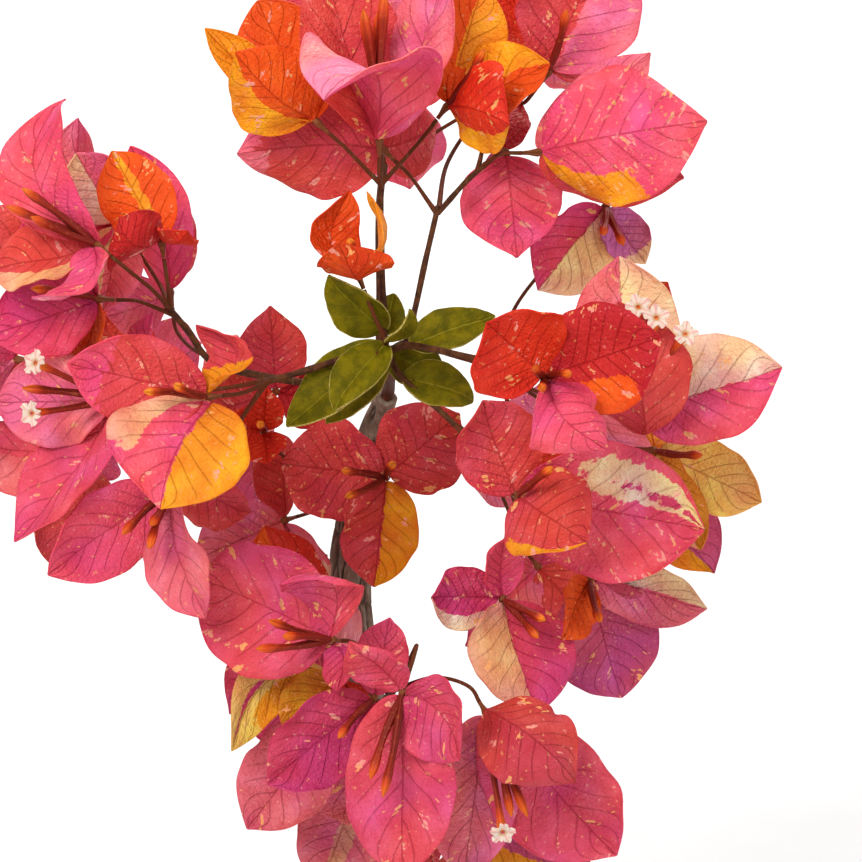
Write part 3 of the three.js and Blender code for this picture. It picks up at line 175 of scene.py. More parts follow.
BLOOMS = {
    "top_middle": bloom(
        (-14.5, 81.5, 0), (0, -1, -0.2), (0, 0.9, 0.35),
        bract(
            (-30, 93, 27), 21, "blush", via=(-16, 101, 15), face=(0.3, 0.9, -0.4), cup=0.5, outside="pink",
        ),
        bract((-30, 131, -6), 17, "coral"),
        bract((5, 129, -3), 15, "rose"),
        tubes=[(-19, 118, 6), (-13, 123, 3), (-15, 117, -2)], girth=1.3,
    ),
    "top_left": bloom(
        (-32, 86.5, -6), (0.72, -0.65, 0), (-0.3, 0.6, -0.7),
        bract(
            (-54, 106, 4), 15, "tangerine", via=(-44, 94, 2), cup=0.5, sectors=[("amber", (-1, 0, -0.25))],
        ),
        bract((-63.5, 112, -14), 7, "amber", face=(-0.2, 0.6, 0.8)),
        bract((-49, 121, -20), 14, "tangerine", face=(-0.2, 0.3, 0.9)),
        tubes=[(-46, 104, -10)],
    ),
    "top_right": bloom(
        (4.5, 91, -8), (-0.6, -0.78, -0.1), (0.4, 0.5, 0.7),
        bract(
            (22, 86, 12), 14, "scarlet", via=(13, 90, 7), face=(-0.3, 0.3, -0.9), cup=0.6,
            sectors=[("amber", (1, 0, -0.5))],
        ),
        bract((33, 103, -2), 14, "tangerine", sectors=[("amber", (1, 0, -0.2), (0, 1, -0.3))]),
        bract((15, 125, -10), 12, "tangerine", sectors=[("amber", (-1, 0, 0.1))]),
        tubes=[(15, 107, 6), (18, 98, 6)],
    ),
    "top_far_right": bloom(
        (33, 100.5, -17), (-0.6, -0.75, -0.3), (0.3, 0.3, 0.9),
        bract((50, 139, -12), 19, "coral", sectors=[("rose", (-1, 0, -0.1))]),
        bract((19, 133, -28), 13, "scarlet"),
        bract((50, 110, -32), 10, "coral"),
        tubes=[(38, 118, -4)],
    ),
    "top_low": bloom(
        (-13.5, 79, -16), (0.7, -0.7, 0.1), (-0.2, 0.3, -0.9),
        bract((-53.5, 78, -22), 17.5, "coral", via=(-32, 80, -15), sectors=[("rose", (0, 1, -0.86))]),
        bract((3, 86, -34), 12, "coral"),
        bract((-22, 108, -36), 14, "red"),
    ),
    "upper_right": bloom(
        (30, 78, 0), (-1, -0.06, 0.3), (0.3, 0.1, -0.9),
        bract(
            (76.5, 86.5, 4), 20, "pink", via=(53, 83, 8), flecks=0.8,
            sectors=[("amber", (1, 0, -0.5), (0, -1, 0.62))],
        ),
        bract((61.5, 106, -12), 9, "rose"),
        bract((70.5, 71, -18), 12, "coral"),
    ),
    "upper_right_hanging": bloom(
        (21, 78, -14), (-0.5, 0.3, 0.8), (0.1, -0.5, -0.8),
        bract(
            (24, 49.5, -20), 15.5, "pink", via=(22.5, 65, -13),
            sectors=[("cream", (-1, 0, -0.05), (0, 1, -0.45), (0, -1, 0.62), (1, 0, 0.3))],
        ),
        bract((16, 95, -30), 10, "red"),
        bract((28, 62, -46), 9, "mauve"),
    ),
    "upper_right_lilac": bloom(
        (49, 63, -46), (-0.6, -0.5, -0.6), (0.3, -0.2, 0.9),
        bract((30.5, 39.5, -44), 14, "magenta", sectors=[("cream", (1, 0, 0))]),
        bract((60, 47, -48), 7.5, "lilac", sectors=[("cream", (0, 1, -0.8))]),
        bract((46, 84, -60), 10, "pink"),
        tubes=[(48, 55, -36), (54, 52, -38)],
    ),
    "right_front": bloom(
        (32, 15, 34), (-0.8, 0.25, -0.55), (0, -0.1, 1),
        bract((15, 31, 49), 16, "scarlet"),
        bract((64, 26, 44), 16, "red", sectors=[("tangerine", (-1, 0, -0.35), (0, -1, 0.75))]),
        bract((49, -5, 47), 14, "pink", via=(37, 4, 51), face=(0, 0.4, 0.9), cup=-1.2, outside="scarlet"),
        tubes=[(29, 18, 52), (39, 16, 52), (31, 12, 54)],
    ),
    "right_beige": bloom(
        (56, 5.3, -4), (-0.85, 0, -0.5), (0.2, 0.3, 0.9),
        bract((53, 48.7, -4), 16.5, "rose", sectors=[("cream", (-1, 0, 0))]),
        bract((98.5, 17.6, 0), 16.5, "pink", sectors=[("cream", (1, 0, 0))]),
        bract((53, 36, 14), 15, "coral", start=(60, -2, 2), via=(58, 16, 12), face=(0.2, 0.2, -0.9)),
        stars=[(58, 34.5, 19), (63, 31.5, 21), (71, 27, 19)],
    ),
    "right_lower": bloom(
        (24, -18, 8), (-0.6, 0.6, -0.5), (0.3, -0.1, 0.95),
        bract((14, 9, 18), 13.5, "coral"),
        bract((43, -30.5, 26), 15, "coral", sectors=[("amber", (-1, 0, -0.7), (0, 1, -0.35))]),
        bract(
            (76.5, -27.5, 6), 20, "pink", flecks=0.6,
            sectors=[
                ("cream", (1, 0, -0.2), (-1, 0, 0.82), (0, 1, -0.28)),
                ("magenta", (1, 0, -0.28), (-1, 0, 0.52), (0, 1, -0.42)),
            ],
        ),
        tubes=[(34, -10, 22)],
    ),
    "right_yellow": bloom(
        (62.5, -5.5, -20), (-0.9, 0.1, -0.4), (0.5, -0.3, 0.8),
        bract((92.5, -20, -24), 11, "straw"),
        bract((75, -34, -12), 9.5, "ochre"),
        bract((60, 20, -36), 12, "amber"),
        tubes=[(76, -6.7, -6)],
    ),
    "right_under": bloom(
        (44.5, -41.5, -22), (-0.6, 0.7, -0.4), (0.3, -0.4, 0.85),
        bract((77, -50.5, -26), 9.5, "rose", sectors=[("cream", (1, 0, -0.1))]),
        bract((53, -74.5, -32), 17, "mauve"),
        bract((38, -58, -8), 9, "tangerine"),
        tubes=[(47.5, -53.5, -8)],
    ),
    "right_folded": bloom(
        (20, -47, -12), (-0.1, 0.8, -0.6), (0.5, -0.1, 0.9),
        bract((-1, -46.5, 0), 9.5, "magenta", sectors=[("cream", (1, 0, -0.55))]),
        bract((30, -79, -2), 17, "magenta", sectors=[("peach", (-1, 0, 0))]),
        bract((21, -29, -4), 7, "pink"),
        tubes=[(32, -53, -2), (30, -58, 0)],
    ),
    "centre_young": bloom(
        (-20.5, 44, 4), (0.35, -0.9, -0.1), (0, 0.9, 0.35),
        bract(
            (-26, 52, 20), 12, "tangerine", via=(-21, 43, 13), face=(0, 0.9, -0.3), cup=0.6,
            outside="flame",
        ),
        bract((-22, 67, 0), 8, "flame", via=(-28, 54, 2), face=(0.4, 0.2, 0.9), cup=0.5),
        bract((-16.5, 67.5, -2), 5.5, "amber", via=(-13.5, 54, 1), face=(-1, 0, 0.25)),
        tubes=[(-23, 54, 8)],
    ),
    "centre": bloom(
        (-12.5, -13, -64), (0.1, 0.2, -1), (0, 0, 1),
        bract((-42.5, -9, -60), 16, "coral", flecks=0.7),
        bract((7, 4, -54), 15, "coral", flecks=0.7),
        bract((-16, -44, -60), 12.5, "coral", sectors=[("amber", (1, 0, -0.05))]),
        tubes=[(-25, -11, -48), (-24, -18.5, -48), (-10.5, -9, -46)],
    ),
    "centre_low": bloom(
        (-41, -25, -78), (0.7, 0.2, -0.7), (-0.5, -0.2, 0.8),
        bract((-66, -36, -72), 12, "rose"),
        bract((-44, 0, -88), 10, "coral"),
        bract((-34, -54, -86), 14, "rose", sectors=[("cream", (1, 0, -0.3), (0, 1, -0.4))]),
    ),
    "centre_orange": bloom(
        (-47, 0, -62), (0.4, -0.6, -0.7), (0, 0, 1),
        bract((-46, 11, -50), 6, "scarlet"),
        bract((-45.5, -10, -52), 7, "scarlet"),
        bract((-58, 2, -54), 7, "scarlet"),
        tubes=[(-48, 2, -50)],
    ),
    "centre_left": bloom(
        (-43.5, 11, -74), (0.6, -0.1, -0.8), (0, 0.2, 0.95),
        bract((-45, 34, -68), 11, "coral"),
        bract((-24, 7, -70), 10, "red"),
        bract((-68, 4, -70), 11, "coral"),
    ),
    "left_upper": bloom(
        (-93.5, 52, 12), (0.75, -0.6, -0.3), (-0.8, 0.4, 0.5),
        bract((-103.5, 94, 8), 12, "pink", via=(-111, 72, 10), face=(-0.4, 0, 0.9)),
        bract((-111.5, 35.5, 26), 12, "pink", via=(-97, 41, 27), face=(-0.7, 0.5, 0.5), outside="rose"),
        bract((-124, 46, 2), 13, "coral", sectors=[("peach", (1, 0, -0.4))]),
        tubes=[(-114.5, 68, 20), (-112, 60, 22), (-119, 63, 17)],
    ),
    "left_upper_inner": bloom(
        (-75.5, 53, -2), (0.15, -1, 0), (-0.3, 0.5, -0.8),
        bract((-88, 60, 10), 11, "red", via=(-83, 52, 10)),
        bract((-69, 56, 8), 7, "scarlet", via=(-71, 53, 6)),
        bract((-89.5, 78.5, -8), 11, "tangerine", sectors=[("amber", (1, 0, 0.1), (-1, 0, 0.25))]),
    ),
    "left_back": bloom(
        (-73, 39, -40), (0.1, -0.9, -0.3), (0, 0.1, 1),
        bract((-84, 79.5, -40), 10, "pink", via=(-76, 60, -38)),
        bract((-74, 66, -58), 9, "coral"),
        bract((-90, 32, -52), 10, "rose"),
    ),
    "left_cream": bloom(
        (-88, 58, -22), (0.6, -0.8, -0.3), (-0.1, 0.2, 1),
        bract((-99.5, 78, -20), 11, "rose", sectors=[("cream", (1, 0, 0))]),
        bract((-92, 34, -20), 10, "rose", sectors=[("cream", (-1, 0, -0.2))]),
        bract((-116, 54, -28), 12, "pink"),
    ),
    "left_front": bloom(
        (-62.5, 9.5, 24), (0.8, 0.1, -0.6), (-0.2, 0, 1),
        bract((-102, 19, 32), 13, "coral", sectors=[("pink", (0, 1, -0.72))]),
        bract(
            (-76, -21, 36), 20.5, "pink", start=(-61, 9, 24), via=(-71, -5, 30),
            sectors=[("amber", (1, 0, -0.02)), ("peach", (-1, 0, -0.5), (0, -1, 0.7))],
        ),
        bract(
            (-64.5, 30.5, 22), 11, "coral", via=(-54.5, 20, 28), face=(-0.8, 0, 0.6),
            sectors=[("amber", (0, -1, 0.45))],
        ),
        tubes=[(-80.5, 11, 36), (-72, 13, 37)],
    ),
    "left_starred": bloom(
        (-88, 9, 4), (0.9, 0.1, -0.45), (-0.8, 0.1, 0.6),
        bract((-116.5, -31, 2), 14, "pink"),
        bract((-122, 8, -12), 14, "rose"),
        bract((-79, 33, 2), 9, "magenta"),
        tubes=[(-114.5, 12, 6)], stars=[(-110.5, 19, 12), (-111.5, 5, 12)],
    ),
    "left_middle": bloom(
        (-93, 37, -4), (1, -0.05, -0.2), (-0.7, 0, 0.7),
        bract((-124, 27, -2), 13, "magenta"),
        bract((-106, 0, -14), 13, "tangerine"),
        bract((-110, 62, -14), 12, "pink"),
        tubes=[(-112, 40, 6)],
    ),
    "left_lower": bloom(
        (-73, -16.5, 0), (0.75, 0.65, -0.1), (-0.4, -0.6, 0.7),
        bract((-107.5, -40, 4), 13.5, "pink"),
        bract((-51.5, -24, -8), 11, "coral"),
        bract((-62, -51.5, 6), 13, "rose", via=(-71, -35, 4)),
        tubes=[(-86.5, -29, 12), (-78.5, -26.5, 12), (-79, -33, 13)],
    ),
    "bottom_left": bloom(
        (-27.5, -58.5, 6), (0.45, -0.1, -0.9), (-0.6, 0, 0.8),
        bract((-65.5, -41, -6), 21, "pink", flecks=0.5),
        bract((-42.5, -42, 18), 12, "pink", via=(-28, -43, 14)),
        bract((-27, -73, 8), 6, "magenta", via=(-25, -64, 9)),
        tubes=[(-45.5, -53, 16), (-41.5, -57.5, 18), (-49, -61, 16)],
    ),
    "bottom_yellow": bloom(
        (-25.5, -68, -10), (0.5, 0.1, -0.85), (-0.5, -0.6, 0.6),
        bract(
            (-55, -89.5, -8), 9, "straw", via=(-45.5, -70, -12),
            sectors=[("magenta", (1, 0, 0.3), (-1, 0, -0.05)), ("amber", (1, 0, -0.2), (0, -1, 0.8))],
        ),
        bract((-41, -85, -10), 10, "ochre", sectors=[("scarlet", (1, 0, -0.1))]),
        bract((-19, -88, -16), 8, "scarlet"),
    ),
    "bottom_low_left": bloom(
        (-28, -81, -22), (0.5, 0.3, -0.8), (-0.3, -0.3, 0.9),
        bract((-51.5, -111.5, -20), 14, "rose"),
        bract((-54, -76, -30), 12, "pink"),
        bract((-22, -110, -30), 13, "rose", sectors=[("cream", (1, 0, -0.5))]),
        tubes=[(-36, -92, -12)],
    ),
    "bottom_middle": bloom(
        (-16, -75, 0), (0.3, 0.5, -0.8), (-0.2, -0.3, 0.9),
        bract((-46, -99, 8), 13, "magenta", flecks=0.4),
        bract((-12, -53, -3), 8, "pink"),
        bract((0, -98, -10), 12, "pink"),
        tubes=[(-26, -86, 10)],
    ),
    "bottom_front": bloom(
        (-8, -73, 12), (0.3, 0.9, -0.4), (-0.1, -0.7, 0.7),
        bract((-22.5, -61, 24), 9, "pink"),
        bract((9, -91, 18), 15, "pink", via=(2, -78, 20)),
        bract((-8.5, -125.5, 14), 16, "pink", flecks=0.4),
        tubes=[(-17, -97.5, 22), (-13.5, -102.5, 24)],
    ),
    "bottom_back": bloom(
        (-19, -96, -44), (0.3, 0.5, -0.8), (-0.1, -0.3, 0.9),
        bract((-31, -128, -40), 14, "rose", sectors=[("peach", (1, 0, 0.1), (-1, 0, 0.35))]),
        bract((2, -122, -44), 13, "coral"),
        bract((-44, -100, -58), 12, "rose"),
    ),
    "bottom_right": bloom(
        (15.5, -79, 4), (-0.4, 0.6, -0.7), (0.2, -0.9, 0.2),
        bract(
            (41, -98.5, 16), 15, "pink", start=(14.4, -77.5, 4.6), via=(27, -85, 20),
            face=(0.1, -0.6, -0.8), cup=0.6, outside="coral",
        ),
        bract((51.5, -119, -6), 18, "pink", via=(35, -101, -6), face=(0.1, -0.4, 0.9)),
        bract((9, -125, -8), 13, "rose", face=(-0.1, -0.4, 0.9)),
        tubes=[(22.5, -108, 10), (27, -108, 11)], stars=[(20, -112, 13)],
    ),
}

# Where each far bloom's bracts join, and the way that it looks.
FAR_BLOOMS = {
    "back_top_left": ((-20, 100, -70), (-0.4, 0.6, -0.7)),
    "back_top": ((6, 112, -102), (0, 0.8, -0.6)),
    "back_top_right": ((30, 104, -72), (0.5, 0.6, -0.6)),
    "back_left_upper": ((-100, 48, -66), (-0.6, 0.6, -0.5)),
    "back_left_outer": ((-116, 20, -48), (-1, 0, -0.3)),
    "back_left": ((-82, 14, -112), (-0.5, 0.2, -0.85)),
    "back_left_lower": ((-96, -8, -66), (-0.7, -0.4, -0.7)),
    "back_right_upper": ((42, 12, -74), (0.4, 0.4, -0.8)),
    "back_right": ((56, -12, -106), (0.6, -0.1, -0.8)),
    "back_right_lower": ((30, -38, -74), (0.4, -0.5, -0.8)),
    "back_low_left": ((-31, -60, -60), (-0.5, 0.1, -0.85)),
    "back_low": ((12, -112, -52), (0.3, -0.8, -0.3)),
    "deep_upper": ((-10, 92, -138), (-0.1, 0.3, -0.95)),
    "deep_left": ((-52, 2, -152), (-0.5, 0, -0.85)),
    "deep_right": ((26, -6, -156), (0.4, -0.1, -0.9)),
}

# A pedicel runs from its shoot through the given places to its bloom's collar. A leaf is its base, its
# tip, its half-width and the way that its upper side looks.
LEAFY_STEMS = {
    "stem_front": {
        "shoots": [
            shoot(
                2.4, 1.2, (-12.41, 9.75, -75.6), (-11.8, 11.6, -72.8), (-12, 17, -40), (-13, 22, -15),
                (-12.5, 25.5, 3),
            ),
            shoot(1.2, 1, (-13, 23, -8), (-13, 31, -5), (-13.5, 40, -5), (-14, 56, -7), (-14, 70, -7)),
            shoot(
                1.2, 1, (-12.8, 21.8, -15.5), (-7, 25, -10), (-4.5, 34, -9), (-1.5, 48, -10), (2, 63, -11),
            ),
            shoot(1, 0.9, (2, 61, -11), (10, 70, -8), (17, 76, -4)),
            shoot(1.3, 1.1, (-12.8, 22.6, -12), (-6, 24, -2), (0, 23, 3), (7, 21.5, 9), (14, 20, 16)),
            shoot(1.2, 1, (-12.5, 23, -8), (-9, 16, -7), (0, 8, -6), (8.5, 0, -4)),
            shoot(1.3, 1.1, (-13, 23, -6), (-22, 21, -1), (-36.5, 16.5, 3), (-47, 13.5, 8)),
            shoot(
                1.5, 1.2, (-12, 16.6, -42), (-24, 13, -30), (-45, 15, -22), (-62, 20, -16), (-68, 28, -12),
                (-74, 35, -9),
            ),
        ],
        "pedicels": {
            "top_middle": [(-14, 68, -7)],
            "top_left": [(-14, 69, -7)],
            "top_right": [(-14, 69, -7)],
            "top_low": [(1.5, 61, -11)],
            "top_far_right": [(2, 61, -11), (5, 76, -31), (14, 88, -39), (24, 92, -30)],
            "upper_right": [(15, 74.5, -5)],
            "upper_right_hanging": [(13, 73, -6)],
            "right_front": [(12, 20.5, 14)],
            "right_beige": [(4, 22, 6), (16, 18, 2), (32, 10, -9)],
            "right_yellow": [(4, 22, 6), (16, 18, 2), (32, 8, -16)],
            "right_lower": [(7, 1.5, -4)],
            "right_folded": [(8, 1, -4), (20, -11, -16), (24, -27, -27)],
            "right_under": [(8, 1, -4), (20, -10, -18), (31, -22, -28)],
            "left_front": [(-45, 14, 7)],
            "left_lower": [(-46, 13.8, 7.5), (-52, 5, 4), (-57, -3, 0)],
            "left_starred": [(-42, 15, 5), (-58, 12, -2)],
            "left_upper_inner": [(-73, 34, -10)],
            "left_upper": [(-73, 34, -10), (-78, 39.5, 1)],
            "left_middle": [(-71, 32, -11)],
            "left_back": [(-62, 20.5, -16), (-68, 24, -33)],
            "left_cream": [(-73, 34, -10), (-76, 41, -20)],
            "centre_young": [(-12.7, 25, 0)],
        },
        "leaves": [
            ((-13, 28, -6.2), (-29, 43, 4), 8, (-0.3, -0.5, 0.8)),
            ((-13, 27, -6.5), (-10.5, 38, -8), 5, (0, 0, 1)),
            ((-12.6, 25, 1), (-5, 33, 12), 4, (0.6, -0.4, 0.7)),
            ((-12.9, 24, -3), (-40, 1, 2), 8.5, (-0.2, 0.3, 0.9)),
            ((-12.7, 24.8, 0), (-27.5, 6.5, 11), 7, (-0.2, 0.3, 0.9)),
            ((-6, 24, -2.5), (17.5, 31.5, -6), 6.5, (0, 0.4, 0.9)),
            ((-8, 15, -7), (13, 9, -12), 7, (0.1, 0.4, 0.9)),
            ((-12.7, 20.5, -22), (-29, 2, -16), 6, (0, 0.3, 1)),
            ((-12.6, 21.6, -17), (4, 14.5, -18), 7, (0.1, 0.2, 1)),
        ],
    },
    "stem_centre": {
        "shoots": [
            shoot(1.8, 1.2, (-19.4, -18, -92.3), (-19, -16.5, -86), (-16, -13, -79)),
        ],
        "pedicels": {
            "centre": [(-16.4, -13.4, -80)],
            "centre_low": [(-19.2, -17, -88), (-26, -20, -89)],
            "centre_orange": [(-17.6, -15, -83), (-32, -12, -79)],
            "centre_left": [(-18.8, -16.2, -86), (-26, 2, -88)],
        },
    },
    "stem_bottom": {
        "shoots": [
            shoot(2.4, 1.3, (-18.4, -84, -95.5), (-17, -81, -70), (-14, -77, -46), (-10, -72, -24)),
        ],
        "pedicels": {
            "bottom_left": [(-11.5, -73.5, -32), (-17, -63, -15)],
            "bottom_yellow": [(-11.7, -73.7, -33)],
            "bottom_low_left": [(-13.4, -76, -42)],
            "bottom_middle": [(-10.2, -72.2, -25)],
            "bottom_front": [(-10.5, -72.5, -26), (-7, -66, -12), (-4, -60, 2)],
            "bottom_back": [(-16.4, -80, -66), (-15.6, -88, -58)],
            "bottom_right": [(-10.5, -72.5, -26), (2, -69, -12)],
            "back_low_left": [(-13.8, -76.6, -45), (-22, -68, -44)],
            "back_low": [(-15.5, -79, -59), (-2, -88, -48)],
        },
    },
    "stem_back_upper": {
        "shoots": [
            shoot(
                2, 1.4, (-16, 3.9, -92.5), (-14.6, 14, -101), (-14.2, 40, -105), (-14.2, 66, -104),
                (-12, 80, -102),
            ),
        ],
        "pedicels": {
            "back_top_left": [(-14.2, 67, -104), (-14, 82, -82)],
            "back_top": [(-12.4, 78, -102.4)],
            "back_top_right": [(-13, 75, -103), (2, 84, -82)],
            "deep_upper": [(-13.2, 73, -103), (-11, 84, -116)],
        },
    },
    "stem_back_left": {
        "shoots": [
            shoot(2.2, 1.4, (-29.5, -36, -105), (-42, -30, -106), (-56, -18, -104), (-69, -4, -96)),
        ],
        "pedicels": {
            "back_left": [(-67, -6, -97)],
            "back_left_lower": [(-64, -9.5, -99), (-76, -9, -80)],
            "back_left_upper": [(-68, -5, -96.6), (-76, 12, -80), (-84, 28, -66)],
            "back_left_outer": [(-67.5, -5.6, -97), (-84, 4, -72), (-94, 12, -54)],
            "deep_left": [(-46, -27, -105.6), (-44, -14, -124)],
        },
    },
    "stem_back_right": {
        "shoots": [
            shoot(2.2, 1.4, (-12.1, -10, -96), (-2, -6, -98), (14, -2, -98), (26, 0, -94)),
        ],
        "pedicels": {
            "back_right_upper": [(24, 0, -95), (30, 2, -78)],
            "back_right": [(25, 0, -94.4), (36, -5, -95)],
            "back_right_lower": [(12, -2.5, -98), (19, -16, -82)],
            "deep_right": [(10, -3, -98), (17, -4, -126)],
            "upper_right_lilac": [(22, -0.6, -95.6), (21, 28, -84), (32, 46, -62)],
        },
    },
}


# ---------------------------------------------------------------- places and curves


def place(spot):
    """The point on the front sight line through (across, up), at a depth toward the viewer."""
    across, up, toward = spot
    spread = (FRONT_AWAY - toward) / FRONT_AWAY
    return CROWN_AT + RIGHT * across * spread + UP * up * spread + TOWARD * toward


def unit(vectors):
    return vectors / np.maximum(np.linalg.norm(vectors, axis=-1, keepdims=True), 1e-9)


def aim(way):
    """A direction given as across, up and toward the viewer."""
    return unit(RIGHT * way[0] + UP * way[1] + TOWARD * way[2])


def seeded(seed):
    """A small repeatable random draw from 0 to 1, the same as the frame's far blooms use."""
    state = [seed * 7919 + 17]

    def draw():
        state[0] = (state[0] * 16807) % 2147483647
        return state[0] / 2147483647

    return draw


LATTICE_PRIMES = np.array([73856093, 19349663, 83492791])


def noise(points, size, seed=0):
    """Value noise from -1 to 1: a random value at each corner of a cubic lattice, joined smoothly."""
    scaled = np.asarray(points, float) / size
    cell = np.floor(scaled).astype(np.int64)
    part = scaled - cell
    part = part * part * (3 - 2 * part)
    total = np.zeros(scaled.shape[:-1])
    for corner in np.ndindex(2, 2, 2):
        mixed = np.bitwise_xor.reduce((cell + corner) * LATTICE_PRIMES, axis=-1) ^ (seed * 6571)
        mixed = ((mixed ^ (mixed >> 13)) * 1274126177) & 0xFFFFFFFF
        value = ((mixed >> 9) & 0xFFFF) / 32767.5 - 1
        total += value * np.where(np.array(corner) == 1, part, 1 - part).prod(-1)
    return total


def curve(route, rings):
    """A centripetal Catmull-Rom curve through the route, sampled at even steps of its length.
    Each stretch is the cubic whose end slopes come from its neighbours' spacing to the power 1/2."""
    p = np.array(route, float)
    p = np.vstack([2 * p[0] - p[1], p, 2 * p[-1] - p[-2]])
    count = len(route) - 1
    w = np.linspace(0, count, count * 24 + 1)
    k = np.minimum(w.astype(int), count - 1)
    w = (w - k)[:, None]
    a, b, c, d = p[k], p[k + 1], p[k + 2], p[k + 3]
    ab, bc, cd = (np.sqrt(np.linalg.norm(v, axis=1, keepdims=True)) for v in (b - a, c - b, d - c))
    first = ((b - a) / ab - (c - a) / (ab + bc) + (c - b) / bc) * bc
    last = ((c - b) / bc - (d - b) / (bc + cd) + (d - c) / cd) * bc
    line = b + first * w + (3 * (c - b) - 2 * first - last) * w**2 + (2 * (b - c) + first + last) * w**3
    run = np.concatenate([[0], np.cumsum(np.linalg.norm(np.diff(line, axis=0), axis=1))])
    even = np.linspace(0, run[-1], rings)
    return np.stack([np.interp(even, run, line[:, i]) for i in range(3)], 1), run[-1]


# ---------------------------------------------------------------- gathering surfaces into a mesh


def linked(name, data):
    """A new object with that data, in the scene."""
    thing = bpy.data.objects.new(name, data)
    bpy.context.scene.collection.objects.link(thing)
    return thing


class Surfaces:
    """Closed surfaces gathered for one mesh, with each vertex's place on its own surface."""

    KEYS = ("uv", "blade", "sector", "marks", "paper", "patch_a", "patch_b")

    def __init__(self):
        self.points, self.faces, self.kinds = [], [], []
        self.extra = {key: [] for key in self.KEYS}
        self.count = 0

    def put(self, points, faces, kind=0, **extra):
        """Adds points, face lists of their numbers, the faces' material and the points' marks."""
        flat = np.asarray(points, float).reshape(-1, 3)
        self.points.append(flat)
        for face_set in faces:
            listed = np.atleast_2d(face_set).tolist()
            self.faces += [[n + self.count for n in face] for face in listed]
            self.kinds += [kind] * len(listed)
        for key in self.KEYS:
            width = 2 if key == "uv" else 3
            given = np.asarray(extra.get(key, 0.0), float)
            self.extra[key].append(np.broadcast_to(given, (len(flat), width)))
        self.count += len(flat)

    def make(self, name, materials, slot, nodes, sharp=60):
        """The finished object, in metres at the origin, standing for those nodes of the frame."""
        mesh = bpy.data.meshes.new(name)
        points = np.vstack(self.points) * MM
        mesh.from_pydata(points.tolist(), [], self.faces)
        mesh.polygons.foreach_set("material_index", self.kinds)
        mesh.polygons.foreach_set("use_smooth", [True] * len(self.faces))
        corners = np.zeros(len(mesh.loops), np.int32)
        mesh.loops.foreach_get("vertex_index", corners)
        spread = mesh.uv_layers.new(name="spread")
        spread.data.foreach_set("uv", np.vstack(self.extra["uv"])[corners].astype(np.float32).ravel())
        for key in ("blade", "sector", "marks"):
            layer = mesh.attributes.new(key, "FLOAT_VECTOR", "POINT")
            layer.data.foreach_set("vector", np.vstack(self.extra[key]).astype(np.float32).ravel())
        for key in ("paper", "patch_a", "patch_b"):
            layer = mesh.attributes.new(key, "FLOAT_COLOR", "POINT")
            colour = np.vstack(self.extra[key])
            opaque = np.hstack([colour, np.ones((len(colour), 1))])
            layer.data.foreach_set("color", opaque.astype(np.float32).ravel())
        mesh.set_sharp_from_angle(angle=math.radians(sharp))
        mesh.update()
        for material in materials:
            mesh.materials.append(material)
        piece = linked(name, mesh)
        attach(piece, "root")
        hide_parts(*nodes)
        return piece


def grid_faces(number):
    """The four corners of each cell in a grid of point numbers."""
    return np.stack([number[:-1, :-1], number[1:, :-1], number[1:, 1:], number[:-1, 1:]], -1).reshape(-1, 4)


def sheet(points, thick):
    """Two layers half the thickness to each side of a grid along its normals, closed by a rim."""
    normal = unit(np.cross(np.gradient(points, axis=0), np.gradient(points, axis=1)))
    half = points.size // 3
    number = np.arange(half).reshape(points.shape[:2])
    upper = grid_faces(number)
    edge = np.concatenate([number[:, 0], number[-1, 1:], number[-2::-1, -1], number[0, -2:0:-1]])
    after = np.roll(edge, -1)
    rim = np.stack([after, edge, edge + half, after + half], -1)
    lift = normal * thick / 2
    both = np.concatenate([(points + lift).reshape(-1, 3), (points - lift).reshape(-1, 3)])
    return both, [upper, upper[:, ::-1] + half, rim]


def columns_of(*fields):
    """The fields of a grid, one column for each."""
    return np.stack(np.broadcast_arrays(*fields), -1).reshape(-1, len(fields))


def on_both_layers(*fields):
    """The fields of a grid, one column for each, for both of a sheet's layers."""
    return np.tile(columns_of(*fields), (2, 1))


def circle(count):
    """The angles of points spread evenly round a circle."""
    return np.linspace(0, 2 * math.pi, count, endpoint=False)


def rings(grid):
    """Faces of a grid of rings that close on themselves, with a flat cap at each end."""
    count, sides = grid.shape[:2]
    number = np.arange(count * sides).reshape(count, sides)
    beside = np.roll(number, -1, axis=1)
    walls = np.stack([number[:-1], beside[:-1], beside[1:], number[1:]], -1).reshape(-1, 4)
    return [walls, number[0, ::-1], number[-1]]


def sweep(route, radius_at, sides, count):
    """A tube along the route: circles square to it, of a radius given by share of length and angle."""
    line, length = curve(route, count)
    along = unit(np.gradient(line, axis=0))
    spread = np.linalg.svd(along, full_matrices=False)[2]
    normal = unit(spread[-1] - along * (along @ spread[-1])[:, None])
    side = np.cross(along, normal)
    share = np.linspace(0, 1, count)[:, None]
    angle = circle(sides)[None, :]
    radius = radius_at(share, angle) * np.ones((count, sides))
    ring = np.cos(angle)[..., None] * normal[:, None] + np.sin(angle)[..., None] * side[:, None]
    return line[:, None] + ring * radius[..., None], length


def tube(surfaces, route, radii, sides, count, kind, tint=0.0):
    """A stem or flower tube with five faint ribs, its radius read from a short list along it."""
    steps = np.linspace(0, 1, len(radii))

    def radius_at(share, angle):
        plain = np.interp(share, steps, radii)
        return plain * (1 + 0.05 * np.cos(5 * angle + 9 * share))

    grid, length = sweep(route, radius_at, sides, count)
    share, turn = np.linspace(0, 1, count)[:, None], np.linspace(0, 1, sides)[None, :]
    uv, marks = columns_of(turn, share * length / CM), columns_of(turn, share, tint)
    surfaces.put(grid, rings(grid), kind, uv=uv, blade=marks)


# ---------------------------------------------------------------- blades: bracts and leaves


def half_width(s, outline):
    """s to one power times 1 - s to another, scaled to 1 at its widest."""
    rise, fall = outline
    widest = rise / (rise + fall)
    return s**rise * (1 - s) ** fall / (widest**rise * (1 - widest) ** fall)


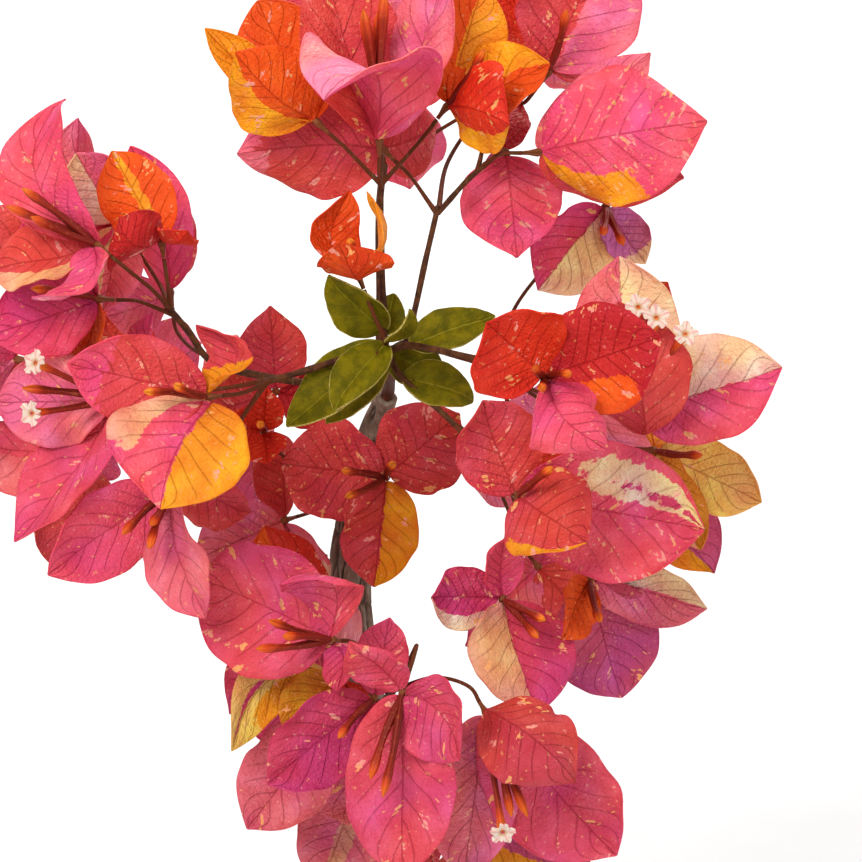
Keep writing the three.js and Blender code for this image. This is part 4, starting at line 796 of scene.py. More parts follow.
def lateral(rib, reach):
    """How near a point is to a side vein, from 0 between veins to 1 on one: a triangle wave of
    reach less slant times the distance from the midrib, its two sides half a step apart."""
    step = VEIN_PAIRS * (reach - VEIN_SLANT * np.abs(rib)) + np.where(rib > 0, 0.5, 0.0)
    return 1 - 2 * np.abs(step - np.floor(step) - 0.5)


def along_columns(slope, step):
    """The running integral of the slope across the columns, 0 at the middle one."""
    run = np.cumsum((slope[:, 1:] + slope[:, :-1]) / 2 * step, axis=1)
    run = np.concatenate([np.zeros((len(run), 1)), run], axis=1)
    return run - run[:, slope.shape[1] // 2][:, None]


def blade(base, tip, via, face, wide, cup, outline, grid, seed, curl, point, lobe=0.2, quilt=0.22):
    """A thin arched sheet. Its midrib is the quadratic curve from base to tip through `via` at half
    way. Across it the slope turns evenly by `cup` to each side, from a crease at the midrib that
    eases off outward, and near the margins it turns further by a sum of sines of the length, so that
    they curl to and fro. The half-width is the outline with small waves and a drawn-out tip, the base
    lobes reach back, the sheet sinks along its veins, its tip bends in or out and all of it crumples a
    little. Its rows and columns crowd at its edges."""
    rows, columns = grid
    s = (0.5 - 0.5 * np.cos(np.linspace(0.05, math.pi - 0.03, rows)))[:, None]
    t = np.sin(np.linspace(-math.pi / 2.4, math.pi / 2.4, columns))[None, :] / math.sin(math.pi / 2.4)
    chord = tip - base
    length = np.linalg.norm(chord)
    across = unit(np.cross(face, chord))
    bend = 2 * via - 0.5 * (base + tip)
    middle = (1 - s) ** 2 * base + 2 * s * (1 - s) * bend + s**2 * tip
    along = unit(2 * (1 - s) * (bend - base) + 2 * s * (tip - bend))
    out = unit(np.cross(along, across))
    phase = seed * 1.7
    hand = np.where(t > 0, 1.0, -1.0)
    edge = 1 + 0.03 * np.sin(5 * s + phase + 2 * hand) + 0.014 * np.sin(13 * s + 3 * phase + hand)
    edge = edge + 0.01 * np.sin(29 * s + 2 * phase - hand)
    half = wide * half_width(s, outline) * edge * (1 - point * np.exp(-(1 - s) / 0.07))
    back = length * lobe * np.sqrt(s) * (1 - s) ** 3 * t**2
    away = np.clip((np.abs(t) - 0.45) / 0.55, 0, 1) ** 1.5
    turn = np.sin(6 * s + phase + 2.3 * hand) + 0.5 * np.sin(13 * s + 2 * phase + hand)
    turn = turn + 0.2 * np.sin(25 * s + 4 * phase - 1.9 * hand) - 0.35 * math.sin(seed * 2.3)
    slope = cup * t + hand * (curl * turn * away + CREASE * (1 - 1.5 * np.abs(t)))
    step = np.diff(t)
    run, rise = along_columns(np.cos(slope), step), along_columns(np.sin(slope), step)
    vein = lateral(t, s) ** 3
    groove = np.exp(-((t * half / 0.9) ** 2))
    lift = -quilt * vein * np.sqrt(np.clip(1 - np.abs(t), 0, 1)) - 0.35 * groove
    lift = lift + 2.2 * math.sin(seed * 3.1) * np.clip((s - 0.7) / 0.3, 0, 1) ** 2
    points = middle[:, None] - along[:, None] * back[..., None] + across * (half * run)[..., None]
    points = points + out[:, None] * (half * rise + lift)[..., None]
    crumple = 0.8 * noise(points, 10.0, seed) + 0.26 * noise(points, 4.2, seed + 1)
    points = points + out[:, None] * (crumple * np.minimum(1, half / 5))[..., None]
    rib = np.broadcast_to(t, half.shape)
    reach = np.broadcast_to(s, half.shape)
    return points, rib, reach, half, length


def sector_field(lines, rib, reach):
    """Near the least of a * rib + b * reach + c over the lines, rounded where two meet, so that it
    is above 0 inside them all: minus a ninth of the log of the sum of exp(-9 * each)."""
    each = np.array([a * rib + b * reach + c for a, b, c in lines])
    return -np.log(np.exp(-9 * each).sum(0)) / 9


def put_bract(surfaces, base, tip, via, face, look, outline, seed, settings, finer=1.0):
    """One bract's sheet, with the papers of its two sides and of its sectors, darkened low on the tree as
    painted shade.
    """
    grid = round(settings.rows * finer), round(settings.columns * finer) // 2 * 2 + 1
    points, rib, reach, half, length = blade(
        base, tip, via, face, look.wide, look.cup, outline, grid, seed, settings.curl, settings.point
    )
    both, faces = sheet(points, settings.thickness / MM)
    none = np.full(rib.shape, -1.0)
    fields = [sector_field(lines, rib, reach) for _, *lines in look.sectors] + [none, none]
    # painted shade: the lower the bract hangs, the darker its papers
    depth = np.interp(points[..., 2].mean(), DEEP_BETWEEN, (DEEPEST, 1.0))
    papers = {name: np.array(tone) * depth for name, tone in PAPERS.items()}
    patches = [papers[name] for name, *_ in look.sectors] + [(0, 0, 0), (0, 0, 0)]
    aside = rib * half / CM
    bend = reach - VEIN_SLANT * np.abs(rib) + 0.05 * noise(points, 9.0, seed + 3)
    run = reach * length / CM + seed * 0.61 % 7
    surfaces.put(
        both,
        faces,
        uv=on_both_layers(aside + seed * 0.37 % 5, run),
        blade=on_both_layers(rib, reach, run - 0.55 * np.abs(aside)),
        sector=on_both_layers(fields[0], fields[1], aside),
        marks=on_both_layers(look.flecks, bend, 0.0),
        paper=np.repeat([papers[look.paper], papers[look.outside or look.paper]], rib.size, axis=0),
        patch_a=patches[0],
        patch_b=patches[1],
    )


# Radii at even steps along a collar, a flower tube with its bud, a tube that opens in a star and a
# pedicel, and how a shoot swells at its knots.
COLLAR_RADII = (0.6, 0.65, 0.85, 1.25, 0.9)
TUBE_RADII = (0.6, 0.75, 1.0, 1.15, 1.18, 1.12, 1.02, 0.95, 0.98, 1.2, 1.36, 1.15, 0.2)
OPEN_TUBE_RADII = (0.6, 0.72, 0.95, 1.05, 1.0, 0.92, 0.85, 0.85, 0.95, 1.15, 1.45)
PEDICEL_RADII = (0.85, 0.68, 0.6, 0.55, 0.56, 0.62)
SHOOT_KNOTS = np.array([1, 1, 1.12, 0.98, 1, 1.1, 0.98, 1, 1])


def put_collar(surfaces, heart, back):
    """The small green-brown swelling that the bracts join on, in line with the pedicel."""
    route = [heart + back * COLLAR_LENGTH, heart + back * 2, heart - back]
    tube(surfaces, route, COLLAR_RADII, 12, 10, TUBE, COLLAR_KIND)


def put_flower(surfaces, heart, end, bend, open_end=False, girth=1.0):
    """A ribbed flower tube, slender at the heart and even above, with a small round bud at its end
    or a flared mouth under an open flower."""
    radii = np.array(OPEN_TUBE_RADII if open_end else TUBE_RADII) * girth
    tube(surfaces, [heart, (heart + end) / 2 + bend, end], radii, 10, 30, TUBE, TUBE_KIND)


def put_star(surfaces, centre, axis, seed):
    """An open flower: a flared funnel whose rim is five notched, ruffled lobes. Its reach follows the
    cosine of five times the angle. Its rim rises, bends back and ruffles by the cosine of ten times the
    angle and the sine of seventeen times it."""
    side = unit(np.cross(axis, UP + 0.2 * RIGHT))
    up = np.cross(side, axis)
    turn = np.linspace(0, 2 * math.pi, 91)[None, :]
    out = np.linspace(0.16, 1, 12)[:, None]
    spun = turn + seed
    lobe = 0.8 + 0.2 * np.cos(5 * spun) - 0.12 * np.abs(np.cos(2.5 * spun)) ** 14
    reach = 4.1 * (1 - (1 - lobe) * out**2)
    height = 1.9 * out - 0.9 * out**3 + 0.42 * out**2 * np.cos(10 * spun) + 0.25 * out**2 * np.sin(17 * spun)
    points = (
        centre
        + (reach * out * np.cos(turn))[..., None] * side
        + (reach * out * np.sin(turn))[..., None] * up
        + height[..., None] * axis
    )
    both, faces = sheet(points[:, ::-1], STAR_THICKNESS)
    surfaces.put(both, faces, STAR, blade=on_both_layers(out, out, spun[:, ::-1]))


# ---------------------------------------------------------------- tray, soil and trunk


def soften(profile, passes=2):
    """Rounds a profile's corners by cutting each at a fifth of its sides, pass after pass."""
    line = np.array(profile, float)
    for _ in range(passes):
        near = 0.8 * line[:-1] + 0.2 * line[1:]
        far = 0.2 * line[:-1] + 0.8 * line[1:]
        middle = np.stack([near, far], 1).reshape(-1, 2)
        line = np.vstack([line[:1], middle[1:-1], line[-1:]])
    return line


def tray_reach(angle):
    """How far the tray's outline lies out at an angle: 1 at its ends, as the superellipse
    |cos|^p + |sin / ratio|^p = reach^-p with p the corner power."""
    ratio = POT_HALF_WIDTH / POT_HALF_LENGTH
    across = np.abs(np.cos(angle)) ** POT_CORNER_POWER
    deep = (np.abs(np.sin(angle)) / ratio) ** POT_CORNER_POWER
    return (across + deep) ** (-1 / POT_CORNER_POWER)


def tray_grid(profile, facets):
    """Rings of the tray's outline, one for each (reach, height) of the profile."""
    angle = circle(facets)
    out = profile[:, :1] * tray_reach(angle)[None, :]
    height = np.broadcast_to(profile[:, 1:], out.shape)
    return np.stack([out * np.cos(angle), out * np.sin(angle), height], -1)


def make_tray(settings):
    """The tray: one closed profile drawn round the superellipse, four rounded feet and two drain holes.
    Its walls waver a little, as if pressed by hand."""
    rim, wall = POT_HALF_LENGTH, POT_WALL
    inside = POT_FOOT_HEIGHT + POT_FLOOR
    profile = soften(
        [
            (3, POT_FOOT_HEIGHT),
            (rim - 15, POT_FOOT_HEIGHT),
            (rim - 10, POT_FOOT_HEIGHT + 6),
            (rim - POT_LIP - 1.6, POT_HEIGHT - 14),
            (rim - POT_LIP - 0.4, POT_HEIGHT - 13),
            (rim - POT_LIP, POT_HEIGHT - 8),
            (rim, POT_HEIGHT - 7),
            (rim, POT_HEIGHT - 1),
            (rim - 1, POT_HEIGHT),
            (rim - wall, POT_HEIGHT),
            (rim - POT_LIP - wall - 1, POT_HEIGHT - 8),
            (rim - wall - 10, inside + 5),
            (rim - wall - 16, inside),
            (3, inside),
        ]
    )
    grid = tray_grid(profile, settings.facets)
    by_hand = 0.25 * noise(grid, 26.0, 3) * (grid[..., 2:] > inside + 2)[..., 0]
    grid[..., :2] *= (1 + by_hand / 100)[..., None]
    body = Surfaces()
    body.put(grid, rings(grid))
    for x in (-1, 1):
        for y in (-1, 1):
            put_foot(body, x * POT_FOOT_AT[0], y * POT_FOOT_AT[1])
    glaze = glaze_material(tuple(settings.dark_clay), tuple(settings.pale_clay))
    tray = body.make("tray", [glaze], "glaze", ["pot"], sharp=50)
    pierce(tray, -DRAIN_AT)
    pierce(tray, DRAIN_AT)
    return tray


def put_foot(surfaces, x, y):
    """A foot: a box whose outline is the superellipse |cos|^6 + |sin|^6, a little smaller below."""
    angle = circle(48)[None, :]
    height = np.array([0, 0.4, 1.2, 4, 7, 9.0])[:, None]
    swell = np.array([0.9, 0.96, 0.99, 0.985, 1, 1.0])[:, None]
    round_box = (np.abs(np.cos(angle)) ** 6 + np.abs(np.sin(angle)) ** 6) ** (-1 / 6)
    across = x + swell * round_box * np.cos(angle) * POT_FOOT_SIZE[0] / 2
    deep = y + swell * round_box * np.sin(angle) * POT_FOOT_SIZE[1] / 2
    foot = np.stack(np.broadcast_arrays(across, deep, height), -1)
    surfaces.put(foot, rings(foot))


def pierce(tray, x):
    """Cuts a drain hole through the tray's floor, on its long middle line."""
    angle = circle(48)[None, :]
    height = np.array([[-9.0], [21.0]])
    drain = columns_of(x + DRAIN_RADIUS * np.cos(angle), DRAIN_RADIUS * np.sin(angle), height)
    faces = [face for part in rings(drain.reshape(2, 48, 3)) for face in np.atleast_2d(part).tolist()]
    mesh = bpy.data.meshes.new("drain")
    mesh.from_pydata((drain * MM).tolist(), [], faces)
    cutter = linked("drain", mesh)
    hole = tray.modifiers.new("drain", "BOOLEAN")
    hole.object, hole.operation, hole.solver = cutter, "DIFFERENCE", "EXACT"
    with bpy.context.temp_override(object=tray, active_object=tray):
        bpy.ops.object.modifier_apply(modifier=hole.name)
    bpy.data.objects.remove(cutter)
    bpy.data.meshes.remove(mesh)


# The trunk's route, in millimetres on the tray's axes and then as places seen from the front, and its
# radii at even steps along it.
TRUNK_ROUTE = [
    (*TRUNK_FOOT, SOIL_TOP_EDGE + SOIL_CROWN - SOIL_HOLE_DEPTH),
    (15, -3, SOIL_TOP_EDGE),
    (12, -9, SOIL_TOP_EDGE + 28),
    place((-11.5, -120, -101)),
    place((-17, -92, -104)),
    place((-22, -64, -106)),
    place((-23, -44, -106)),
    place((-20, -19, -101)),
    place((-16, 0, -90)),
    place((-12.5, 9.5, -76)),
]
TRUNK_RADII = (15, 13.5, 11.5, 10, 9, 8.2, 7.4, 6.4, 5, 3.4)


def trunk_radius(share, angle):
    """The radius read from the list, swollen by cosine ridges that flare into roots at the foot."""
    plain = np.interp(share, np.linspace(0, 1, len(TRUNK_RADII)), TRUNK_RADII)
    flare = ROOT_FLARE * np.maximum(0, 1 - share * 4) ** 2 + 0.05
    return plain * (1 + flare * np.cos(TRUNK_RIDGES * angle))


def soil_level(x, y):
    """The mound's height: it falls to the wall by the share of the way out, to the power 2.4."""
    share = np.hypot(x, y) / tray_reach(np.arctan2(y, x)) / (POT_HALF_LENGTH - POT_WALL)
    return SOIL_TOP_EDGE + SOIL_CROWN * (1 - share**2.4)


def soil_top(edge, hole):
    """Rings from the tray's wall in to the hole, with crumbs and cushions of moss, and the moss's share
    of each point. Both fade out at the two ends."""
    share = np.linspace(0, 1, 58)[:, None]
    flat = edge * (1 - share[..., None]) + hole * share[..., None]
    here = np.concatenate([flat, np.zeros(flat.shape[:2] + (1,))], -1)
    moss = np.clip(0.9 * noise(here, 31.0, 5) + 0.5 * noise(here, 13.0, 8) + 0.25, 0, 1)
    ends = np.clip(share / 0.06, 0, 1) * np.clip((1 - share) / 0.08, 0, 1)
    crumb = 0.55 * noise(here, 3.1, 1) + 0.5 * noise(here, 1.4, 2)
    cushion = 1.5 * np.sqrt(moss) * (1 + 0.3 * noise(here, 4.0, 9))
    level = soil_level(flat[..., 0], flat[..., 1]) - 0.6
    height = level + (crumb * (1 - 0.5 * moss) + cushion) * ends
    return np.concatenate([flat, height[..., None]], -1), moss * ends


def make_soil(settings):
    """The soil: a shell inside the tray, a mossy top, a hole that the trunk stands in, and grit."""
    angle = circle(settings.facets)
    wall = POT_HALF_LENGTH - POT_WALL
    base = POT_FOOT_HEIGHT + POT_FLOOR + GAP
    profile = [
        (3, base),
        (wall - 16.6, base),
        (wall - 10.6, base + 5),
        (wall - 7.6, SOIL_TOP_EDGE - 3),
        (wall - 6.9, SOIL_TOP_EDGE - 0.4),
    ]
    shell = tray_grid(np.array(profile, float), settings.facets)
    at_top = trunk_radius(0.1, angle) + HOLE_ROOM
    centre_top = np.array(TRUNK_AT_SOIL)
    brink = centre_top + at_top[:, None] * np.stack([np.cos(angle), np.sin(angle)], -1)
    top, green = soil_top(shell[-1:, :, :2], brink[None])
    depth = np.linspace(0, 1, 6)[1:, None]
    radius = at_top * (1 - depth) + (trunk_radius(0.0, angle) + HOLE_ROOM) * depth
    centre = centre_top * (1 - depth) + np.array(TRUNK_FOOT) * depth
    floor = SOIL_TOP_EDGE + SOIL_CROWN - SOIL_HOLE_DEPTH - GAP
    across = centre[:, :1] + radius * np.cos(angle)
    deep = centre[:, 1:] + radius * np.sin(angle)
    height = top[-1, :, 2].mean() * (1 - depth) + floor * depth
    hole = np.stack(np.broadcast_arrays(across, deep, height), -1)
    grid = np.concatenate([shell, top[1:], hole])
    moss = np.concatenate([np.zeros(shell.shape[:2]), green[1:], np.zeros(hole.shape[:2])])
    body = Surfaces()
    body.put(grid, rings(grid), marks=columns_of(moss, 0.0, 0.0))
    put_grit(body, settings.grit)
    earth = earth_material(tuple(settings.dark_moss), tuple(settings.pale_moss))
    return body.make("soil_and_moss", [earth], "earth", ["soil"], sharp=75)


def put_grit(body, count):
    """Grains: each a ball of 6 by 9 points made lumpy, squashed, turned and set down at a random place."""
    rng = np.random.default_rng(GRIT_SEED)
    spot = rng.uniform(-1, 1, (count * 3, 2)) * (POT_HALF_LENGTH - 8, POT_HALF_WIDTH - 8)
    reach = np.hypot(spot[:, 0], spot[:, 1]) / tray_reach(np.arctan2(spot[:, 1], spot[:, 0]))
    clear = np.hypot(*(spot - TRUNK_AT_SOIL).T)
    spot = spot[(reach < POT_HALF_LENGTH - POT_WALL - 9.5) & (clear > 22)][:count]
    lean = np.linspace(0.12, math.pi - 0.12, 6)[:, None]
    turn = circle(9)[None, :]
    ball = np.stack([np.sin(lean) * np.cos(turn), np.sin(lean) * np.sin(turn), -np.cos(lean) + 0 * turn], -1)
    for x, y in spot:
        size = rng.uniform(0.7, 1.7) * np.array([1, rng.uniform(0.7, 1), rng.uniform(0.55, 0.85)])
        spin = rng.uniform(0, math.pi)
        grain = ball * (1 + rng.uniform(-0.16, 0.16, ball.shape[:2]))[..., None] * size
        across = grain[..., 0] * math.cos(spin) - grain[..., 1] * math.sin(spin) + x
        deep = grain[..., 0] * math.sin(spin) + grain[..., 1] * math.cos(spin) + y
        grain = np.stack([across, deep, grain[..., 2] + soil_level(x, y) + 0.25], -1)
        body.put(grain, rings(grain), marks=(0.0, rng.uniform(0.2, 1), 0.0))


def make_trunk(settings):
    """The trunk: rings of ridged radius, cut by long bark fissures that only ever go inward."""
    sides, count = settings.sides, settings.rings
    line, length = curve(TRUNK_ROUTE, count)
    along = unit(np.gradient(line, axis=0))
    normal = unit(RIGHT - along * (along @ RIGHT)[:, None])
    side = np.cross(along, normal)
    share = np.linspace(0, 1, count)[:, None]
    angle = circle(sides)[None, :]
    plain = trunk_radius(share, angle)
    wound = angle + 1.1 * share
    there = np.stack([plain * np.cos(wound), plain * np.sin(wound), share * length * 0.22 + 0 * angle], -1)
    split = np.clip(np.abs(noise(there, 2.6, 4) + 0.5 * noise(there, 1.2, 6)) / 0.28, 0, 1)
    knot = np.clip(noise(there * (1, 1, 4.0), 17.0, 2), 0, 1)
    depth = settings.bark_depth / MM
    radius = plain * (1 - 0.05 * knot) - depth * (1 - split) - 0.12
    ring = np.cos(angle)[..., None] * normal[:, None] + np.sin(angle)[..., None] * side[:, None]
    grid = line[:, None] + ring * radius[..., None]
    body = Surfaces()
    uv = columns_of(angle * plain / CM, share * length / CM)
    body.put(grid, rings(grid), uv=uv, blade=columns_of(split, share, 0.0))
    bark = bark_material(tuple(settings.dark_bark), tuple(settings.pale_bark))
    return body.make("barked_trunk", [bark], "bark", ["trunk"], sharp=70)


# ---------------------------------------------------------------- stems, leaves and blooms


def put_leaf(surfaces, base, tip, wide, face, seed, thick):
    """One leaf's sheet with its own veins, and a raised midrib under it that runs to its stem."""
    via = (base + tip) / 2 + face * 1.5
    points, rib, reach, half, length = blade(
        base, tip, via, face, wide, LEAF_CUP, LEAF_OUTLINE, LEAF_GRID, seed,
        curl=0.3, point=0.0, lobe=0.05, quilt=0.4,
    )
    both, faces = sheet(points, thick)
    surfaces.put(
        both,
        faces,
        LEAF,
        uv=on_both_layers(rib * half / CM + seed, reach * length / CM + seed),
        blade=on_both_layers(rib, reach, rib * half),
    )
    under = points[:, points.shape[1] // 2] - face * 0.25
    route = [base - unit(tip - base) * 0.8, *under[4:28:6]]
    tube(surfaces, route, (0.55, 0.42, 0.34, 0.26, 0.15), 8, 20, 0, MIDRIB_KIND)


def back_of(name):
    """Where a bloom's bracts join, and the way back along its pedicel."""
    if name in BLOOMS:
        return place(BLOOMS[name].heart), aim(BLOOMS[name].stalk)
    heart, facing = FAR_BLOOMS[name]
    return place(heart), -aim(facing)


def make_stem(name, entry, settings):
    """A leafy stem: its shoots, the pedicels that end in line with the blooms' collars, its leaves."""
    body = Surfaces()
    for twig in entry["shoots"]:
        line = [place(spot) for spot in twig.route]
        radii = np.linspace(twig.thick, twig.thin, len(SHOOT_KNOTS)) * 0.78 * SHOOT_KNOTS
        tube(body, line, radii, 14, 16 + 12 * len(line), 0, SHOOT_KIND)
    for to, through in entry["pedicels"].items():
        heart, back = back_of(to)
        end = heart + back * (COLLAR_LENGTH + GAP)
        line = [*(place(spot) for spot in through), end + back * 6, end]
        tube(body, line, PEDICEL_RADII, 10, 14 + 8 * len(line), 0, PEDICEL_KIND)
    for i, (base, tip, wide, face) in enumerate(entry.get("leaves", [])):
        thick = settings.leaf_thickness / MM
        put_leaf(body, place(base), place(tip), wide, aim(face), len(name) + i * 3, thick)
    leaf = leaf_material(tuple(settings.dark_leaf), tuple(settings.pale_leaf))
    return body.make("fine_" + name, [shoot_material(), leaf], "shoot", [name])


def make_bloom(name, flower, settings):
    """A bloom: three papery bracts round a collar, with its flower tubes, buds and open flowers."""
    body = Surfaces()
    heart, facing, back = place(flower.heart), aim(flower.facing), aim(flower.stalk)
    seed = sum(ord(letter) for letter in name)
    for i, look in enumerate(flower.bracts):
        face = aim(look.face) if look.face else facing
        start, tip = place(look.start or flower.heart), place(look.tip)
        base = start + unit(tip - start) * BRACT_ROOT
        via = place(look.via) if look.via else (base + tip) / 2 - face * BRACT_BOW
        put_bract(body, base, tip, via, face, look, BRACT_OUTLINE, seed + 7 * i, settings)
    put_collar(body, heart, back)
    sideways = unit(np.cross(back, facing))
    for i, end in enumerate(flower.tubes):
        put_flower(body, heart, place(end), sideways * (0.6 if i % 2 else -0.6), girth=flower.girth)
    for i, end in enumerate(flower.stars):
        put_flower(body, heart, place(end), sideways * 0.4, open_end=True)
        put_star(body, place(end), unit(unit(place(end) - heart) + TOWARD), seed + i)
    return body.make("fine_" + name, bloom_materials(), "bract", ["bloom_" + name])


FAR_PAPERS = ("pink", "coral", "magenta", "rose", "scarlet", "mauve")
FAR_PATCHES = ("rose", "tangerine", "amber")
FAR_FINENESS = 0.72


def make_far_bloom(name, number, settings):
    """A bloom of the far side: three bracts a third of a turn apart that lean toward its facing."""
    body = Surfaces()
    spot, way = FAR_BLOOMS[name]
    heart, facing = place(spot), aim(way)
    draw = seeded(number + 1)
    side = unit(np.cross(facing, aim((0.2, 1, 0.1))))
    top = np.cross(side, facing)
    start = draw() * 2 * math.pi
    for i in range(3):
        turn = start + i * 2 * math.pi / 3 + (draw() - 0.5) * 0.4
        lean = 0.5 + 0.25 * draw()
        length = 36 + 6 * draw()
        wide = 13.5 + 2 * draw()
        flat = side * math.cos(turn) + top * math.sin(turn)
        tip = heart + (flat * math.cos(lean) + facing * math.sin(lean)) * length
        base = heart + (tip - heart) * BRACT_ROOT / length
        via = (heart + tip) / 2 - facing * BRACT_BOW
        look = bract(tip, wide, FAR_PAPERS[(number * 2 + i) % len(FAR_PAPERS)])
        if (number + i) % 3 == 0:
            look.sectors = [(FAR_PATCHES[number % 3], (1 if i % 2 else -1, 0.2, -0.25))]
        seed = 31 * number + i
        put_bract(body, base, tip, via, facing, look, FAR_OUTLINE, seed, settings, FAR_FINENESS)
    put_collar(body, heart, -facing)
    put_flower(body, heart, heart + facing * 22 + top * 4, side * 0.5)
    return body.make("fine_" + name, bloom_materials(), "bract", ["bloom_" + name])


# ---------------------------------------------------------------- materials


class Nodes:
    """A material's node tree, with short calls that return the socket they make."""

    def __init__(self, name):
        self.material = bpy.data.materials.new(name)
        self.material.use_nodes = True
        self.tree = self.material.node_tree
        self.tree.nodes.clear()

    def add(self, kind, inputs=None, **settings):
        node = self.tree.nodes.new("ShaderNode" + kind)
        for key, value in settings.items():
            setattr(node, key, value)
        for key, value in (inputs or {}).items():
            if isinstance(value, bpy.types.NodeSocket):
                self.tree.links.new(value, node.inputs[key])
            else:
                node.inputs[key].default_value = value
        return node

    def math(self, operation, a, b=0.0, c=0.0):
        return self.add("Math", {0: a, 1: b, 2: c}, operation=operation).outputs[0]

    def mix(self, share, a, b, blend="MIX"):
        a, b = ((*value, 1.0) if isinstance(value, tuple) else value for value in (a, b))
        inputs = {"Factor": share, 6: a, 7: b}
        return self.add("Mix", inputs, data_type="RGBA", blend_type=blend).outputs[2]

    def tint(self, share, colour, factor):
        """The colour, moved by a share toward itself times a factor."""
        return self.mix(share, colour, self.mix(1.0, colour, factor, "MULTIPLY"))

    def ramp(self, value, low, high, start=0.0, end=1.0):
        """0 at `low`, 1 at `high`, easing between."""
        inputs = {"Value": value, "From Min": low, "From Max": high, "To Min": start, "To Max": end}
        return self.add("MapRange", inputs, interpolation_type="SMOOTHSTEP").outputs["Result"]

    def mark(self, name):
        return self.add("Attribute", attribute_name=name).outputs

    def parts(self, name):
        return self.add("SeparateXYZ", {0: self.mark(name)["Vector"]}).outputs

    def noise(self, where, scale, detail=2.0, rough=0.5, dimensions="3D"):
        inputs = {"Vector": where, "Scale": scale, "Detail": detail, "Roughness": rough}
        return self.add("TexNoise", inputs, noise_dimensions=dimensions).outputs["Fac"]

    def flat_noise(self, where, scale, detail=2.0, rough=0.5):
        return self.noise(where, scale, detail, rough, "2D")

    def dots(self, where, scale):
        """How far the nearest of many random points is."""
        return self.add("TexVoronoi", {"Vector": where, "Scale": scale}).outputs["Distance"]

    def net(self, where, scale):
        """How far the nearest edge of a net of random cells is, on a sheet."""
        kind = {"feature": "DISTANCE_TO_EDGE", "voronoi_dimensions": "2D"}
        return self.add("TexVoronoi", {"Vector": where, "Scale": scale}, **kind).outputs["Distance"]

    def side_wave(self, rib, slanted):
        """0 on a side vein and 0.5 half way between two, with the two sides half a step apart."""
        half_step = self.math("MULTIPLY", self.math("GREATER_THAN", rib, 0.0), 0.5)
        step = self.math("MULTIPLY_ADD", slanted, VEIN_PAIRS, half_step)
        return self.math("ABSOLUTE", self.math("SUBTRACT", self.math("FRACT", step), 0.5))

    def spread(self):
        return self.add("UVMap", uv_map="spread").outputs[0]

    def space(self, stretch=(1, 1, 1)):
        place_in = self.add("TexCoord").outputs["Object"]
        return self.add("Mapping", {"Vector": place_in, "Scale": stretch}).outputs[0]

    def bump(self, height, distance, strength=1.0):
        inputs = {"Height": height, "Distance": distance, "Strength": strength}
        return self.add("Bump", inputs).outputs[0]

    def surface(self, colour, rough, normal, specular=0.5, **more):
        """The Principled shader, with any more of its sockets by name."""
        inputs = {"Base Color": colour, "Roughness": rough, "Normal": normal, "Specular IOR Level": specular}
        return self.add("BsdfPrincipled", {**inputs, **more}).outputs[0]

    def lit_through(self, share, solid, colour, normal):
        """A share of light let through in that colour, beside the solid shader."""
        through = self.add("BsdfTranslucent", {"Color": colour, "Normal": normal}).outputs[0]
        return self.add("MixShader", {0: share, 1: solid, 2: through}).outputs[0]

    def finish(self, shader):
        self.add("OutputMaterial", {"Surface": shader})
        return self.material


